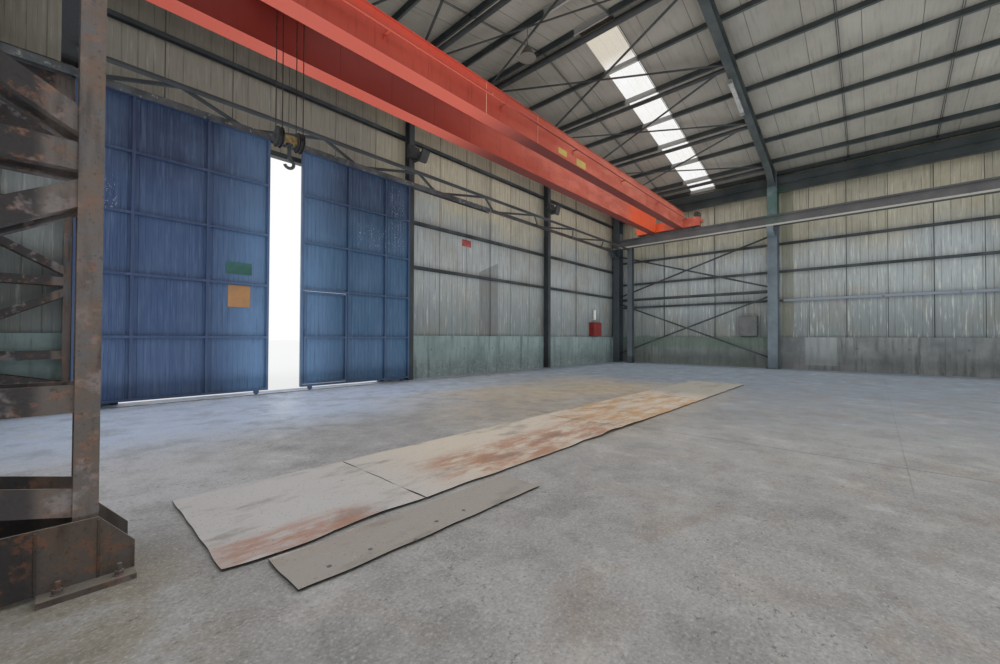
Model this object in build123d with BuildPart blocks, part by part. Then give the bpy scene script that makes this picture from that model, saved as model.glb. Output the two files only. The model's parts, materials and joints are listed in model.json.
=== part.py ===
"""Single-span steel factory hall with a double sliding door and an overhead travelling crane.

Millimetres. X runs across the hall, Y along it towards the gable with the door, Z up.
The origin is the middle of the footprint, on the underside of the floor slab. Levels are
heights above the floor.
"""

import os
from math import atan, cos, sin

from build123d import *

os.makedirs("parts", exist_ok=True)

# Hall grid and envelope
bay_length = 6000
bay_count = 5
outer_width = 19200
floor_thickness = 150
eave_level = 6750  # underside of the rafters at the east columns
roof_rise_per_run = 0.2
ridge_x = 700
cladding_thickness = 40
girt_depth = 100
girt_height = 80
girt_wall = 4
dado_height = 1120
roof_sheet_thickness = 40
roof_overhang = 60
ridge_cap_reach = 210
ridge_cap_thickness = 12
side_girt_levels = (2450, 3500, 4500)
gable_girt_levels = (2910, 4080, 6180)

# Steel frame
column_depth = 400
column_width = 300
column_flange = 15
column_web = 10
head_depth = 300
rafter_depth = 300
rafter_width = 200
rafter_flange = 12
rafter_web = 8
haunch_length = 700
haunch_drop = 220
gable_post_depth = 200
gable_post_width = 150
gable_post_flange = 10
gable_post_web = 8
gable_post_places = (-2150, 3800)
eaves_beam_height = 300
eaves_beam_width = 150
east_eaves_beam_level = 6300
west_eaves_beam_level = 6000
purlin_depth = 140
purlin_width = 60
purlin_wall = 4
purlin_pitch = 1280
outer_purlin_run = 7840  # from the ridge
ridge_purlin_run = 160
eaves_purlin_inset = 60
rooflight_width = 900
rooflight_shift = -600  # from the middle of its bay

# Bracing
strut_radius = 60
strut_wall = 5
ridge_tube_radius = 70
strut_lift = 150  # above the underside of the rafters
brace_lift = 225
brace_width = 70
brace_thickness = 10
seat_gap = 0.3  # between bars that cross, and under what stands on a beam
ridge_brace_run = 100
west_brace_end_run = 9800
wall_brace_levels = ((300, 2690), (2870, 4850))
wall_strut_level = 2780
west_strut_radius = 35
west_brace_inset = 40

# Two-legged lattice columns on the west side
lattice_width = 1395
leg_depth = 260
leg_flange = 80
leg_wall = 12
lace_width = 120
lace_thickness = 10
lace_lip = 60
lace_levels = (750, 1800, 2850, 3900)
base_plate_thickness = 25
base_plate_length = 300
base_plate_half_depth = 220
end_base_plate_half_depth = 145
boot_height = 262
boot_shoulder = 120
boot_reach = 120
boot_thickness = 12
cap_plate_thickness = 20
notch_width = 150
notch_depth = 560

# Crane runways
runway_level = 5000
runway_depth = 360
runway_width = 200
runway_flange = 14
runway_web = 10
rail_height = 50
rail_width = 50
runway_end_gap = 50
east_runway_inset = 360
corner_post_depth = 200
corner_post_width = 220
corner_post_inset = 860  # from the end frame to the post's middle
bracket_reach = 460
bracket_depth = 300
bracket_tip_depth = 150
bracket_plate = 16
bracket_web = 12
end_stop_gap = 20
end_stop_length = 100
end_stop_width = 150
end_stop_height = 310

# Wind trusses along both gables
truss_level = 4900
truss_chord = 80
truss_width = 800
truss_panels = 15
truss_bar = 50

# Steel covers over the cable trench
cover_thickness = 8
cover_gap = 6
cover_y = 9135
cover_width = 1160
cover_ends = (-7680, -6530, -3600, -600, 2600)
side_cover = (-7500, -5840, 8130, 8480)  # west, east, south, north

# Sliding door in the front gable
door_centre = -5215
doorway_width = 4630
doorway_height = 4700
jamb_width = 100
lintel_height = 100
leaf_width = 2550
leaf_thickness = 80
leaf_sheet = 20
leaf_bottom = 85
leaf_top = 4810
leaf_bar = 40
leaf_gap = 590
leaf_wall_gap = 160
leaf_rails = (1050, 2012, 2960, 3900)
left_leaf_posts = (610, 1570)
right_leaf_posts = (964, 1870)
wicket_width = 900
wicket_gap = 12
hinge_levels = (400, 1700)
hinge_rise = 10
hinge_radius = 9
hinge_height = 45
hinge_gap = 0.3
hinge_plate = 6
hinge_plate_length = 46
handle_length = 140
handle_reach = 45
handle_thickness = 18
guide_wall = 6
guide_width = 120
guide_drop = 120
guide_ends = (-9300, 500)
floor_rail_height = 15
floor_rail_width = 20
floor_rail_ends = (-9300, 200)
roller_radius = 30
roller_width = 30
roller_inset = 190
roller_clearance = 0.4
axle_radius = 6
fork_gap = 34
fork_height = 50
fork_length = 80
fork_wall = 6

# Travelling crane
crane_y = 12550
girder_spacing = 1100
girder_width = 300
girder_height = 640
girder_level = 5420
girder_flange = 12
girder_web = 10
girder_lip = 15
trolley_rail_height = 30
trolley_rail_width = 40
carriage_length = 2500
carriage_width = 300
carriage_level = 5460
carriage_height = 340
carriage_wall = 12
wheel_base = 2000
wheel_radius = 125
wheel_width = 70
wheel_clearance = 0.3
wheel_axle_radius = 30
wheel_slot = (90, 290)
buffer_radius = 60
buffer_length = 120
motor_radius = 110
motor_length = 230
motor_y = 11400
cable_rail_radius = 24
cable_rail_level = 5745
cable_rail_reach = 150
cable_rail_inset = 100
cable_arm_start = 475
cable_arm_spacing = 2650
cable_arm_count = 7
cable_arm_width = 50
cable_arm_thickness = 12
cable_foot_height = 90

# Trolley, ropes and hook
trolley_x = -5960
trolley_length = 1200
trolley_beam_width = 75
trolley_beam_height = 150
trolley_beam_rise = 20
trolley_wheel_base = 900
trolley_wheel_radius = 80
trolley_wheel_width = 50
trolley_axle_radius = 20
trolley_wheel_gap = 10
cross_beam_width = 100
cross_beam_places = (-390, 390)
bearing_thickness = 20
bearing_height = 250
drum_radius = 120
drum_length = 620
drum_axle_radius = 15
drum_rise = 200  # axle above the trolley rails
hoist_motor_y = 300
hoist_motor_radius = 105
hoist_motor_length = 520
rope_radius = 7
sheave_spacing = 280
sheave_core_radius = 120
sheave_rim_radius = 145
sheave_width = 60
sheave_rim = 8
sheave_level = 3915
crosshead_height = 110
crosshead_depth = 100
shank_radius = 26
swivel_radius = 48
swivel_height = 45
hook_radius = 62
hook_thickness = 22
hook_level = 3574
hook_sweep = 250

# Cabinets and lamps
control_box = (9520, 10140, 1170, 1930, 260)  # south, north, low, high, depth
hydrant_box = (6900, 7800, 1160, 1740, 220)  # west, east, low, high, depth
wall_lamp = (7300, 7400, 1950, 2050, 80)
floodlight_level = 5600
floodlight_height = 300
floodlight_width = 320
floodlight_depth = 140
bay_lamp_y = 12350
bay_lamp_level = 7700
bay_lamp_radius = 210
bay_lamp_height = 260
bay_lamp_neck_radius = 60
bay_lamp_rod_radius = 10
batten_lamp = (3600, 4960, 9025, 9125)  # west, east, south, north
batten_lamp_depth = 60

# Derived places
roof_angle = atan(roof_rise_per_run)
half_width = outer_width / 2
frame_lines = [bay_length * (i - bay_count / 2) for i in range(bay_count + 1)]
bays = list(zip(frame_lines, frame_lines[1:]))
end_bays = (bays[0], bays[-1])
end_line = frame_lines[-1]
gable_line = end_line + column_width / 2
cladding_line = gable_line + girt_depth
half_length = cladding_line + cladding_thickness
wall_inside = half_width - cladding_thickness
girt_line = wall_inside - girt_depth
column_face = girt_line - column_depth
column_middle = girt_line - column_depth / 2
head_face = -girt_line + head_depth
head_middle = -girt_line + head_depth / 2
ridge_z = floor_thickness + eave_level + roof_rise_per_run * (column_face - ridge_x)
sheet_lift = rafter_depth + purlin_depth
dado_top = floor_thickness + dado_height
doorway_west = door_centre - doorway_width / 2
doorway_east = door_centre + doorway_width / 2
frame_west = doorway_west - jamb_width
frame_east = doorway_east + jamb_width
lintel_top = floor_thickness + doorway_height + lintel_height
leg_east = -girt_line + lattice_width
leg_foot = floor_thickness + base_plate_thickness
leg_head = floor_thickness + runway_level - cap_plate_thickness
runway_bottom = floor_thickness + runway_level
rail_top = runway_bottom + runway_depth + rail_height
east_runway_x = column_face - east_runway_inset
west_runway_x = leg_east - leg_flange / 2
leaf_back = gable_line - gable_post_depth - leaf_wall_gap
leaf_front = leaf_back - leaf_thickness
leaf_middle = (leaf_front + leaf_back) / 2
sheet_front = leaf_back - leaf_sheet


def roof_z(x, lift=0):
    """Height of the sloping plane that lies lift above the underside of the rafters."""
    return ridge_z - roof_rise_per_run * abs(x - ridge_x) + lift / cos(roof_angle)


def block(x_low, x_high, y_low, y_high, z_low, z_high, mode=Mode.ADD):
    """Rectangular stretch between the given limits."""
    with BuildSketch(Plane.XY.offset(z_low)) as outline:
        with Locations(((x_low + x_high) / 2, (y_low + y_high) / 2)):
            Rectangle(x_high - x_low, y_high - y_low)
    extrude(outline.sketch, amount=z_high - z_low, mode=mode)


def plate_across(points, y_low, y_high):
    """Plate whose outline lies across the hall, in XZ."""
    with BuildSketch(Plane.XZ.offset(-y_high)) as outline:
        with BuildLine():
            Polyline(*points, close=True)
        make_face()
    extrude(outline.sketch, amount=y_high - y_low)


def plate_along(points, x_low, x_high):
    """Plate whose outline lies along the hall, in YZ."""
    with BuildSketch(Plane.YZ.offset(x_low)) as outline:
        with BuildLine():
            Polyline(*points, close=True)
        make_face()
    extrude(outline.sketch, amount=x_high - x_low)


def round_bar(plane, radius, length):
    """Round bar that starts on the plane and runs along its normal."""
    with BuildSketch(plane) as outline:
        Circle(radius)
    extrude(outline.sketch, amount=length)


def bar_face(start, end, width):
    """Slanting bar on the sketch in hand, its ends cut square to local x."""
    half = width / 2
    with BuildLine() as edge:
        Polyline(
            (start[0], start[1] - half),
            (end[0], end[1] - half),
            (end[0], end[1] + half),
            (start[0], start[1] + half),
            close=True,
        )
    make_face(edge.edges())


def crossed_braces(seat, left, right, low, high):
    """Two flats that cross between the corners of a panel, one behind the other from the seat on."""
    inset = brace_width / 2
    behind = seat.offset(brace_thickness + seat_gap)
    for plane, start_z, end_z in ((seat, low + inset, high - inset), (behind, high - inset, low + inset)):
        with BuildSketch(plane) as outline:
            bar_face((left, start_z), (right, end_z), brace_width)
        extrude(outline.sketch, amount=brace_thickness)


def i_section(width, height, flange, web):
    """Upright I-section on the sketch in hand."""
    Rectangle(width, height)
    Rectangle(width, height - 2 * flange, mode=Mode.SUBTRACT)
    Rectangle(web, height - 2 * flange)


# Floor slab
with BuildPart() as floor_slab:
    block(-half_width, half_width, -half_length, half_length, 0, floor_thickness)
floor_slab.part.label = "floor_slab"
export_step(floor_slab.part, "parts/floor_slab.step")

# Steel covers laid end to end over the trench, and a narrow one beside them
with BuildPart() as floor_covers:
    with BuildSketch(Plane.XY.offset(floor_thickness)):
        for west, east in zip(cover_ends, cover_ends[1:]):
            with Locations(((west + east) / 2, cover_y)):
                Rectangle(east - west - cover_gap, cover_width)
        with Locations(((side_cover[0] + side_cover[1]) / 2, (side_cover[2] + side_cover[3]) / 2)):
            Rectangle(side_cover[1] - side_cover[0], side_cover[3] - side_cover[2])
    extrude(amount=cover_thickness)
floor_covers.part.label = "floor_covers"
export_step(floor_covers.part, "parts/floor_covers.step")

# Concrete dado walls
with BuildPart() as side_dados:
    block(girt_line, half_width, -half_length, half_length, floor_thickness, dado_top)
    block(-half_width, -girt_line, -half_length, half_length, floor_thickness, dado_top)
side_dados.part.label = "side_dados"
export_step(side_dados.part, "parts/side_dados.step")

with BuildPart() as gable_dados:
    block(-girt_line, frame_west, gable_line, half_length, floor_thickness, dado_top)
    block(frame_east, girt_line, gable_line, half_length, floor_thickness, dado_top)
    block(-girt_line, girt_line, -half_length, -gable_line, floor_thickness, dado_top)
gable_dados.part.label = "gable_dados"
export_step(gable_dados.part, "parts/gable_dados.step")


# Wall cladding, up to the underside of the roof sheets
def draw_side_cladding(inside, outside):
    """Long wall whose top follows the roof's slope."""
    plate_across(
        [
            (inside, dado_top),
            (outside, dado_top),
            (outside, roof_z(outside, sheet_lift)),
            (inside, roof_z(inside, sheet_lift)),
        ],
        -half_length,
        half_length,
    )


with BuildPart() as side_cladding:
    draw_side_cladding(wall_inside, half_width)
    draw_side_cladding(-wall_inside, -half_width)
side_cladding.part.label = "side_cladding"
export_step(side_cladding.part, "parts/side_cladding.step")


def draw_gable_cladding(west, east, foot, y_low, y_high):
    """Stretch of gable wall under the roof, with the ridge in it where it spans the ridge."""
    points = [(west, foot), (east, foot), (east, roof_z(east, sheet_lift))]
    if west < ridge_x < east:
        points.append((ridge_x, roof_z(ridge_x, sheet_lift)))
    points.append((west, roof_z(west, sheet_lift)))
    plate_across(points, y_low, y_high)


with BuildPart() as gable_cladding:
    draw_gable_cladding(-wall_inside, frame_west, dado_top, cladding_line, half_length)
    draw_gable_cladding(frame_east, wall_inside, dado_top, cladding_line, half_length)
    draw_gable_cladding(-wall_inside, wall_inside, dado_top, -half_length, -cladding_line)
gable_cladding.part.label = "gable_cladding"
export_step(gable_cladding.part, "parts/gable_cladding.step")

with BuildPart() as cladding_over_door:
    draw_gable_cladding(frame_west, frame_east, lintel_top, cladding_line, half_length)
cladding_over_door.part.label = "cladding_over_door"
export_step(cladding_over_door.part, "parts/cladding_over_door.step")


# Frame columns: I-sections with the web across the hall and the top cut to the roof's slope
def draw_column(x_low, x_high, y, width, flange, web, foot):
    """Column from its foot to the top of the rafters."""
    stretches = (
        (x_low, x_low + flange, width),
        (x_low + flange, x_high - flange, web),
        (x_high - flange, x_high, width),
    )
    for west, east, thickness in stretches:
        plate_across(
            [
                (west, foot),
                (east, foot),
                (east, roof_z(east, rafter_depth)),
                (west, roof_z(west, rafter_depth)),
            ],
            y - thickness / 2,
            y + thickness / 2,
        )


def draw_corner_post(y):
    """Short I-section that stands under the east runway near its end."""
    seat = Plane(origin=(east_runway_x, y, floor_thickness), x_dir=(0, 1, 0), z_dir=(0, 0, 1))
    with BuildSketch(seat) as outline:
        i_section(corner_post_width, corner_post_depth, column_flange, column_web)
    extrude(outline.sketch, amount=runway_level)


with BuildPart() as east_columns:
    for y in frame_lines:
        draw_column(column_face, girt_line, y, column_width, column_flange, column_web, floor_thickness)
    draw_corner_post(end_line - corner_post_inset)
    draw_corner_post(corner_post_inset - end_line)
east_columns.part.label = "east_columns"
export_step(east_columns.part, "parts/east_columns.step")

with BuildPart() as west_column_heads:
    for y in frame_lines:
        draw_column(-girt_line, head_face, y, rafter_width, rafter_flange, rafter_web, runway_bottom)
west_column_heads.part.label = "west_column_heads"
export_step(west_column_heads.part, "parts/west_column_heads.step")


# West columns below the runway: two channel legs laced on both faces, on boots and base plates
def draw_legs(y):
    """The two channel legs of one column, their backs outwards."""
    with BuildSketch(Plane.XY.offset(leg_foot)) as outline:
        for x, inward in ((leg_east - leg_flange / 2, -1), (-girt_line + leg_flange / 2, 1)):
            with Locations((x, y)):
                Rectangle(leg_flange, leg_depth)
            with Locations((x + inward * leg_wall / 2, y)):
                Rectangle(leg_flange - leg_wall, leg_depth - 2 * leg_wall, mode=Mode.SUBTRACT)
    extrude(outline.sketch, amount=leg_head - leg_foot)


def draw_lacing(y, side):
    """Level and slanting angles between the legs on one face, their lips inwards along the lower edge."""
    outside = y + side * (leg_depth / 2 - leg_wall)
    west = -girt_line + leg_wall
    east = leg_east - leg_wall
    for width, depth in ((lace_width, lace_thickness), (lace_thickness, lace_lip)):
        with BuildSketch(Plane(origin=(0, outside, 0), x_dir=(1, 0, 0), z_dir=(0, -1, 0))) as outline:
            foot = leg_foot + boot_height
            start, end = east, west
            for level in lace_levels:
                head = floor_thickness + level
                bar_face((start, foot + width / 2), (end, head - lace_width + width / 2), width)
                bar_face((west, head + width / 2), (east, head + width / 2), width)
                foot = head + lace_width
                start, end = end, start
        extrude(outline.sketch, amount=side * depth)


def draw_head_plate(y_low, y_high):
    """Plate between the legs under the cap, with a round-ended notch cut down from its top edge."""
    west = -girt_line + leg_wall
    east = leg_east - leg_wall
    low = floor_thickness + lace_levels[-1] + lace_width
    with BuildSketch(Plane.XZ.offset(-y_high)) as outline:
        with Locations(((west + east) / 2, (low + leg_head) / 2)):
            Rectangle(east - west, leg_head - low)
        with Locations(((west + east) / 2, leg_head)):
            SlotOverall(2 * notch_depth, notch_width, rotation=90, mode=Mode.SUBTRACT)
    extrude(outline.sketch, amount=y_high - y_low)


def draw_boot(y_low, y_high):
    """Sloping-shouldered side plate that ties the legs' feet together."""
    toe = leg_east + boot_reach
    plate_across(
        [
            (-girt_line, leg_foot),
            (toe, leg_foot),
            (toe, leg_foot + boot_shoulder),
            (leg_east, leg_foot + boot_height),
            (-girt_line, leg_foot + boot_height),
        ],
        y_low,
        y_high,
    )


with BuildPart() as lattice_columns:
    for y in frame_lines:
        draw_legs(y)
        draw_lacing(y, -1)
        draw_lacing(y, 1)
        leg_side = leg_depth / 2
        lace_outside = leg_side - leg_wall
        lace_inside = lace_outside - lace_thickness
        draw_head_plate(y - lace_outside, y - lace_inside)
        draw_head_plate(y + lace_inside, y + lace_outside)
        draw_boot(y - leg_side - boot_thickness, y - leg_side)
        draw_boot(y + leg_side, y + leg_side + boot_thickness)
        plate_side = end_base_plate_half_depth if abs(y) == end_line else base_plate_half_depth
        toe = leg_east + boot_reach
        block(toe - base_plate_length, toe, y - plate_side, y + plate_side, floor_thickness, leg_foot)
        heel = -girt_line + base_plate_length
        block(-girt_line, heel, y - plate_side, y + plate_side, floor_thickness, leg_foot)
        block(-girt_line, leg_east, y - leg_side, y + leg_side, leg_head, runway_bottom)
lattice_columns.part.label = "lattice_columns"
export_step(lattice_columns.part, "parts/lattice_columns.step")


# Haunched I-section rafters from the ridge to the columns
def draw_rafter(y, eave_x):
    """One rafter, with the haunch at its eave end."""
    inward = 1 if eave_x < ridge_x else -1
    haunch_x = eave_x + inward * haunch_length
    top = rafter_depth
    soffit = [
        (ridge_x, roof_z(ridge_x)),
        (haunch_x, roof_z(haunch_x)),
        (eave_x, roof_z(eave_x) - haunch_drop),
    ]
    inner_soffit = [(x, z + rafter_flange) for x, z in reversed(soffit)]
    top_edge = [(eave_x, roof_z(eave_x, top)), (ridge_x, roof_z(ridge_x, top))]
    under_edge = [(x, z - rafter_flange) for x, z in reversed(top_edge)]
    plate_across(soffit + top_edge, y - rafter_web / 2, y + rafter_web / 2)
    plate_across(soffit + inner_soffit, y - rafter_width / 2, y + rafter_width / 2)
    plate_across(top_edge + under_edge, y - rafter_width / 2, y + rafter_width / 2)


with BuildPart() as east_rafters:
    for y in frame_lines:
        draw_rafter(y, column_face)
east_rafters.part.label = "east_rafters"
export_step(east_rafters.part, "parts/east_rafters.step")

with BuildPart() as west_rafters:
    for y in frame_lines:
        draw_rafter(y, head_face)
west_rafters.part.label = "west_rafters"
export_step(west_rafters.part, "parts/west_rafters.step")

# Gable posts between the floor and the end rafters
with BuildPart() as gable_posts:
    for x in gable_post_places:
        for inner, outer, width in (
            (gable_post_depth, gable_post_depth - gable_post_flange, gable_post_width),
            (gable_post_depth - gable_post_flange, gable_post_flange, gable_post_web),
            (gable_post_flange, 0, gable_post_width),
        ):
            west, east = x - width / 2, x + width / 2
            outline = [
                (west, floor_thickness),
                (east, floor_thickness),
                (east, roof_z(east)),
                (west, roof_z(west)),
            ]
            plate_across(outline, gable_line - inner, gable_line - outer)
            plate_across(outline, -gable_line + outer, -gable_line + inner)
gable_posts.part.label = "gable_posts"
export_step(gable_posts.part, "parts/gable_posts.step")


# Channel purlins across the rafters, from eave to ridge
def draw_purlin(x, side):
    """One purlin along the whole hall, square to the slope on its side of the ridge."""
    seat = Plane(
        origin=(x, side * cladding_line, roof_z(x, rafter_depth)),
        x_dir=(side * cos(roof_angle), 0, -sin(roof_angle)),
        z_dir=(0, -side, 0),
    )
    with BuildSketch(seat) as outline:
        with Locations((0, purlin_depth / 2)):
            Rectangle(purlin_width, purlin_depth)
        with Locations((purlin_wall / 2, purlin_depth / 2)):
            Rectangle(purlin_width - purlin_wall, purlin_depth - 2 * purlin_wall, mode=Mode.SUBTRACT)
    extrude(outline.sketch, amount=2 * cladding_line)


purlin_runs = [outer_purlin_run - purlin_pitch * i for i in range(6)] + [ridge_purlin_run]
with BuildPart() as purlins:
    for run in purlin_runs:
        draw_purlin(ridge_x + run, 1)
        draw_purlin(ridge_x - run, -1)
    draw_purlin(ridge_x - outer_purlin_run - purlin_pitch, -1)
    draw_purlin(girt_line - eaves_purlin_inset, 1)
    draw_purlin(-girt_line + eaves_purlin_inset, -1)
purlins.part.label = "purlins"
export_step(purlins.part, "parts/purlins.step")


# Roof sheets, with the strips of the rooflights let in between them
def draw_roof_strip(side, y_low, y_high):
    """Sheet from ridge to eave on one slope."""
    eave_x = side * (half_width + roof_overhang)
    top = sheet_lift + roof_sheet_thickness
    plate_across(
        [
            (ridge_x, roof_z(ridge_x, sheet_lift)),
            (eave_x, roof_z(eave_x, sheet_lift)),
            (eave_x, roof_z(eave_x, top)),
            (ridge_x, roof_z(ridge_x, top)),
        ],
        y_low,
        y_high,
    )


roof_end = half_length + roof_overhang
east_rooflight_bays = bays[::2]
west_rooflight_bays = bays[1::2]


def rooflight_edges(lit_bays):
    """South and north edges of the rooflight in each of the bays."""
    middles = [(south + north) / 2 + rooflight_shift for south, north in lit_bays]
    return [(middle - rooflight_width / 2, middle + rooflight_width / 2) for middle in middles]


def draw_roof_sheets(side, lit_bays):
    """The sheets of one slope, each between two rooflights."""
    south = -roof_end
    for light_south, light_north in rooflight_edges(lit_bays):
        draw_roof_strip(side, south, light_south)
        south = light_north
    draw_roof_strip(side, south, roof_end)


with BuildPart() as east_roof_sheets:
    draw_roof_sheets(1, east_rooflight_bays)
east_roof_sheets.part.label = "east_roof_sheets"
export_step(east_roof_sheets.part, "parts/east_roof_sheets.step")

with BuildPart() as west_roof_sheets:
    draw_roof_sheets(-1, west_rooflight_bays)
west_roof_sheets.part.label = "west_roof_sheets"
export_step(west_roof_sheets.part, "parts/west_roof_sheets.step")

with BuildPart() as rooflights:
    for south, north in rooflight_edges(east_rooflight_bays):
        draw_roof_strip(1, south, north)
    for south, north in rooflight_edges(west_rooflight_bays):
        draw_roof_strip(-1, south, north)
rooflights.part.label = "rooflights"
export_step(rooflights.part, "parts/rooflights.step")

with BuildPart() as ridge_cap:
    cap_lift = sheet_lift + roof_sheet_thickness
    cap_edge = [
        (ridge_x - ridge_cap_reach, roof_z(ridge_x - ridge_cap_reach, cap_lift)),
        (ridge_x, roof_z(ridge_x, cap_lift)),
        (ridge_x + ridge_cap_reach, roof_z(ridge_x + ridge_cap_reach, cap_lift)),
    ]
    cap_top = [(x, z + ridge_cap_thickness) for x, z in reversed(cap_edge)]
    plate_across(cap_edge + cap_top, -roof_end, roof_end)
ridge_cap.part.label = "ridge_cap"
export_step(ridge_cap.part, "parts/ridge_cap.step")


# Wall girts, folded channels open at the bottom
def girt_section():
    """Section of a girt on the sketch in hand."""
    Rectangle(girt_depth, girt_height)
    with Locations((0, -girt_wall / 2)):
        Rectangle(girt_depth - 2 * girt_wall, girt_height - girt_wall, mode=Mode.SUBTRACT)


def draw_girt(start, along, length):
    """Girt from its start, along a level direction."""
    with BuildSketch(Plane(origin=start, x_dir=(-along[1], along[0], 0), z_dir=along)) as outline:
        girt_section()
    extrude(outline.sketch, amount=length)


with BuildPart() as girts:
    for x in (-girt_line - girt_depth / 2, girt_line + girt_depth / 2):
        for level in side_girt_levels:
            draw_girt((x, -gable_line, floor_thickness + level), (0, 1, 0), 2 * gable_line)
    front_y = gable_line + girt_depth / 2
    for level in gable_girt_levels:
        z = floor_thickness + level
        draw_girt((-girt_line, -front_y, z), (1, 0, 0), 2 * girt_line)
        if level < doorway_height:
            draw_girt((-girt_line, front_y, z), (1, 0, 0), frame_west + girt_line)
            draw_girt((frame_east, front_y, z), (1, 0, 0), girt_line - frame_east)
        else:
            draw_girt((-girt_line, front_y, z), (1, 0, 0), 2 * girt_line)
girts.part.label = "girts"
export_step(girts.part, "parts/girts.step")

# Doorway frame
with BuildPart() as door_jambs:
    doorway_top = floor_thickness + doorway_height
    block(frame_west, doorway_west, gable_line, half_length, floor_thickness, doorway_top)
    block(doorway_east, frame_east, gable_line, half_length, floor_thickness, doorway_top)
door_jambs.part.label = "door_jambs"
export_step(door_jambs.part, "parts/door_jambs.step")

with BuildPart() as door_lintel:
    block(frame_west, frame_east, gable_line, half_length, doorway_top, lintel_top)
door_lintel.part.label = "door_lintel"
export_step(door_lintel.part, "parts/door_lintel.step")

# Eaves beams, butted against the webs of the columns and column heads
with BuildPart() as eaves_beams:
    for x, web, level in (
        (column_middle, column_web, east_eaves_beam_level),
        (head_middle, rafter_web, west_eaves_beam_level),
    ):
        for south, north in bays:
            middle = floor_thickness + level + eaves_beam_height / 2
            seat = Plane(origin=(x, north - web / 2, middle), x_dir=(1, 0, 0), z_dir=(0, -1, 0))
            with BuildSketch(seat):
                i_section(eaves_beam_width, eaves_beam_height, rafter_flange, rafter_web)
            extrude(amount=bay_length - web)
eaves_beams.part.label = "eaves_beams"
export_step(eaves_beams.part, "parts/eaves_beams.step")

# Bracing: a ridge tube in every bay, and tubes and crossed flats in the roof and walls of the end bays
brace_runs = [outer_purlin_run - 2 * purlin_pitch * i for i in (2, 1, 0)]
west_brace_x = -girt_line + west_brace_inset


def draw_tube(x, z, south, north, radius):
    """Tube from south to north."""
    with BuildSketch(Plane(origin=(x, north, z), x_dir=(1, 0, 0), z_dir=(0, -1, 0))) as outline:
        Circle(radius)
        Circle(radius - strut_wall, mode=Mode.SUBTRACT)
    extrude(outline.sketch, amount=north - south)


def draw_roof_braces(side, south, north, runs):
    """Crossed bars in the plane of one slope, between each pair of runs from the ridge."""
    seat = Plane(
        origin=(ridge_x, 0, roof_z(ridge_x, brace_lift)),
        x_dir=(0, 1, 0),
        z_dir=(side * sin(roof_angle), 0, cos(roof_angle)),
    )
    for start, end in zip(runs, runs[1:]):
        low, high = sorted((-side * start / cos(roof_angle), -side * end / cos(roof_angle)))
        overlap = brace_width / 2
        crossed_braces(seat, south, north, low - overlap, high + overlap)


def draw_wall_bracing(x, south, north, radius):
    """Two tiers of crossed bars in one side wall, with a tube between them."""
    seat = Plane.YZ.offset(x - brace_thickness - seat_gap / 2)
    for low, high in wall_brace_levels:
        crossed_braces(seat, south, north, floor_thickness + low, floor_thickness + high)
    draw_tube(x, floor_thickness + wall_strut_level, south, north, radius)


with BuildPart() as bracing:
    web_side = rafter_web / 2
    for south, north in bays:
        ridge_tube_z = roof_z(ridge_x, strut_lift)
        draw_tube(ridge_x, ridge_tube_z, south + web_side, north - web_side, ridge_tube_radius)
    for south, north in end_bays:
        for run in brace_runs:
            for x in (ridge_x - run, ridge_x + run):
                draw_tube(x, roof_z(x, strut_lift), south + web_side, north - web_side, strut_radius)
        draw_roof_braces(1, south + web_side, north - web_side, [ridge_brace_run, *brace_runs])
        west_runs = [ridge_brace_run, *brace_runs, west_brace_end_run]
        draw_roof_braces(-1, south + web_side, north - web_side, west_runs)
        column_side = column_web / 2
        draw_wall_bracing(column_middle, south + column_side, north - column_side, strut_radius)
        leg_side = leg_depth / 2
        draw_wall_bracing(west_brace_x, south + leg_side, north - leg_side, west_strut_radius)
bracing.part.label = "bracing"
export_step(bracing.part, "parts/bracing.step")

# Brackets on the east columns under the crane runway
with BuildPart() as runway_brackets:
    for y in frame_lines:
        tip_x = column_face - bracket_reach
        plate_across(
            [
                (tip_x, runway_bottom),
                (column_face, runway_bottom),
                (column_face, runway_bottom - bracket_depth),
                (tip_x, runway_bottom - bracket_tip_depth),
            ],
            y - bracket_web / 2,
            y + bracket_web / 2,
        )
        side = rafter_width / 2
        top_foot = runway_bottom - bracket_plate
        block(tip_x, column_face, y - side, y + side, top_foot, runway_bottom)
        tip_foot = runway_bottom - bracket_tip_depth
        block(tip_x, tip_x + bracket_plate, y - side, y + side, tip_foot, runway_bottom)
        plate_across(
            [
                (tip_x, tip_foot),
                (column_face, runway_bottom - bracket_depth),
                (column_face, runway_bottom - bracket_depth + bracket_plate),
                (tip_x, tip_foot + bracket_plate),
            ],
            y - side,
            y + side,
        )
runway_brackets.part.label = "runway_brackets"
export_step(runway_brackets.part, "parts/runway_brackets.step")


# Crane runways: I-beams with a rail on top, and a stop on the beam at each end of the rail
crane_travel = (-25700, 600)
carriage_reach = carriage_length / 2 + buffer_length


def draw_runway(x):
    """One runway along the hall."""
    end = end_line - runway_end_gap
    seat = Plane(origin=(x, end, runway_bottom + runway_depth / 2), x_dir=(1, 0, 0), z_dir=(0, -1, 0))
    with BuildSketch(seat) as outline:
        i_section(runway_width, runway_depth, runway_flange, runway_web)
    extrude(outline.sketch, amount=2 * end)
    deck = runway_bottom + runway_depth
    north = crane_y + crane_travel[1] + carriage_reach + end_stop_gap
    south = crane_y + crane_travel[0] - carriage_reach - end_stop_gap
    block(x - rail_width / 2, x + rail_width / 2, south + seat_gap, north - seat_gap, deck, rail_top)
    west, east = x - end_stop_width / 2, x + end_stop_width / 2
    foot, head = deck + seat_gap, deck + end_stop_height
    block(west, east, north, north + end_stop_length, foot, head)
    block(west, east, south - end_stop_length, south, foot, head)


with BuildPart() as crane_runways:
    draw_runway(east_runway_x)
    draw_runway(west_runway_x)
crane_runways.part.label = "crane_runways"
export_step(crane_runways.part, "parts/crane_runways.step")


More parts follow.
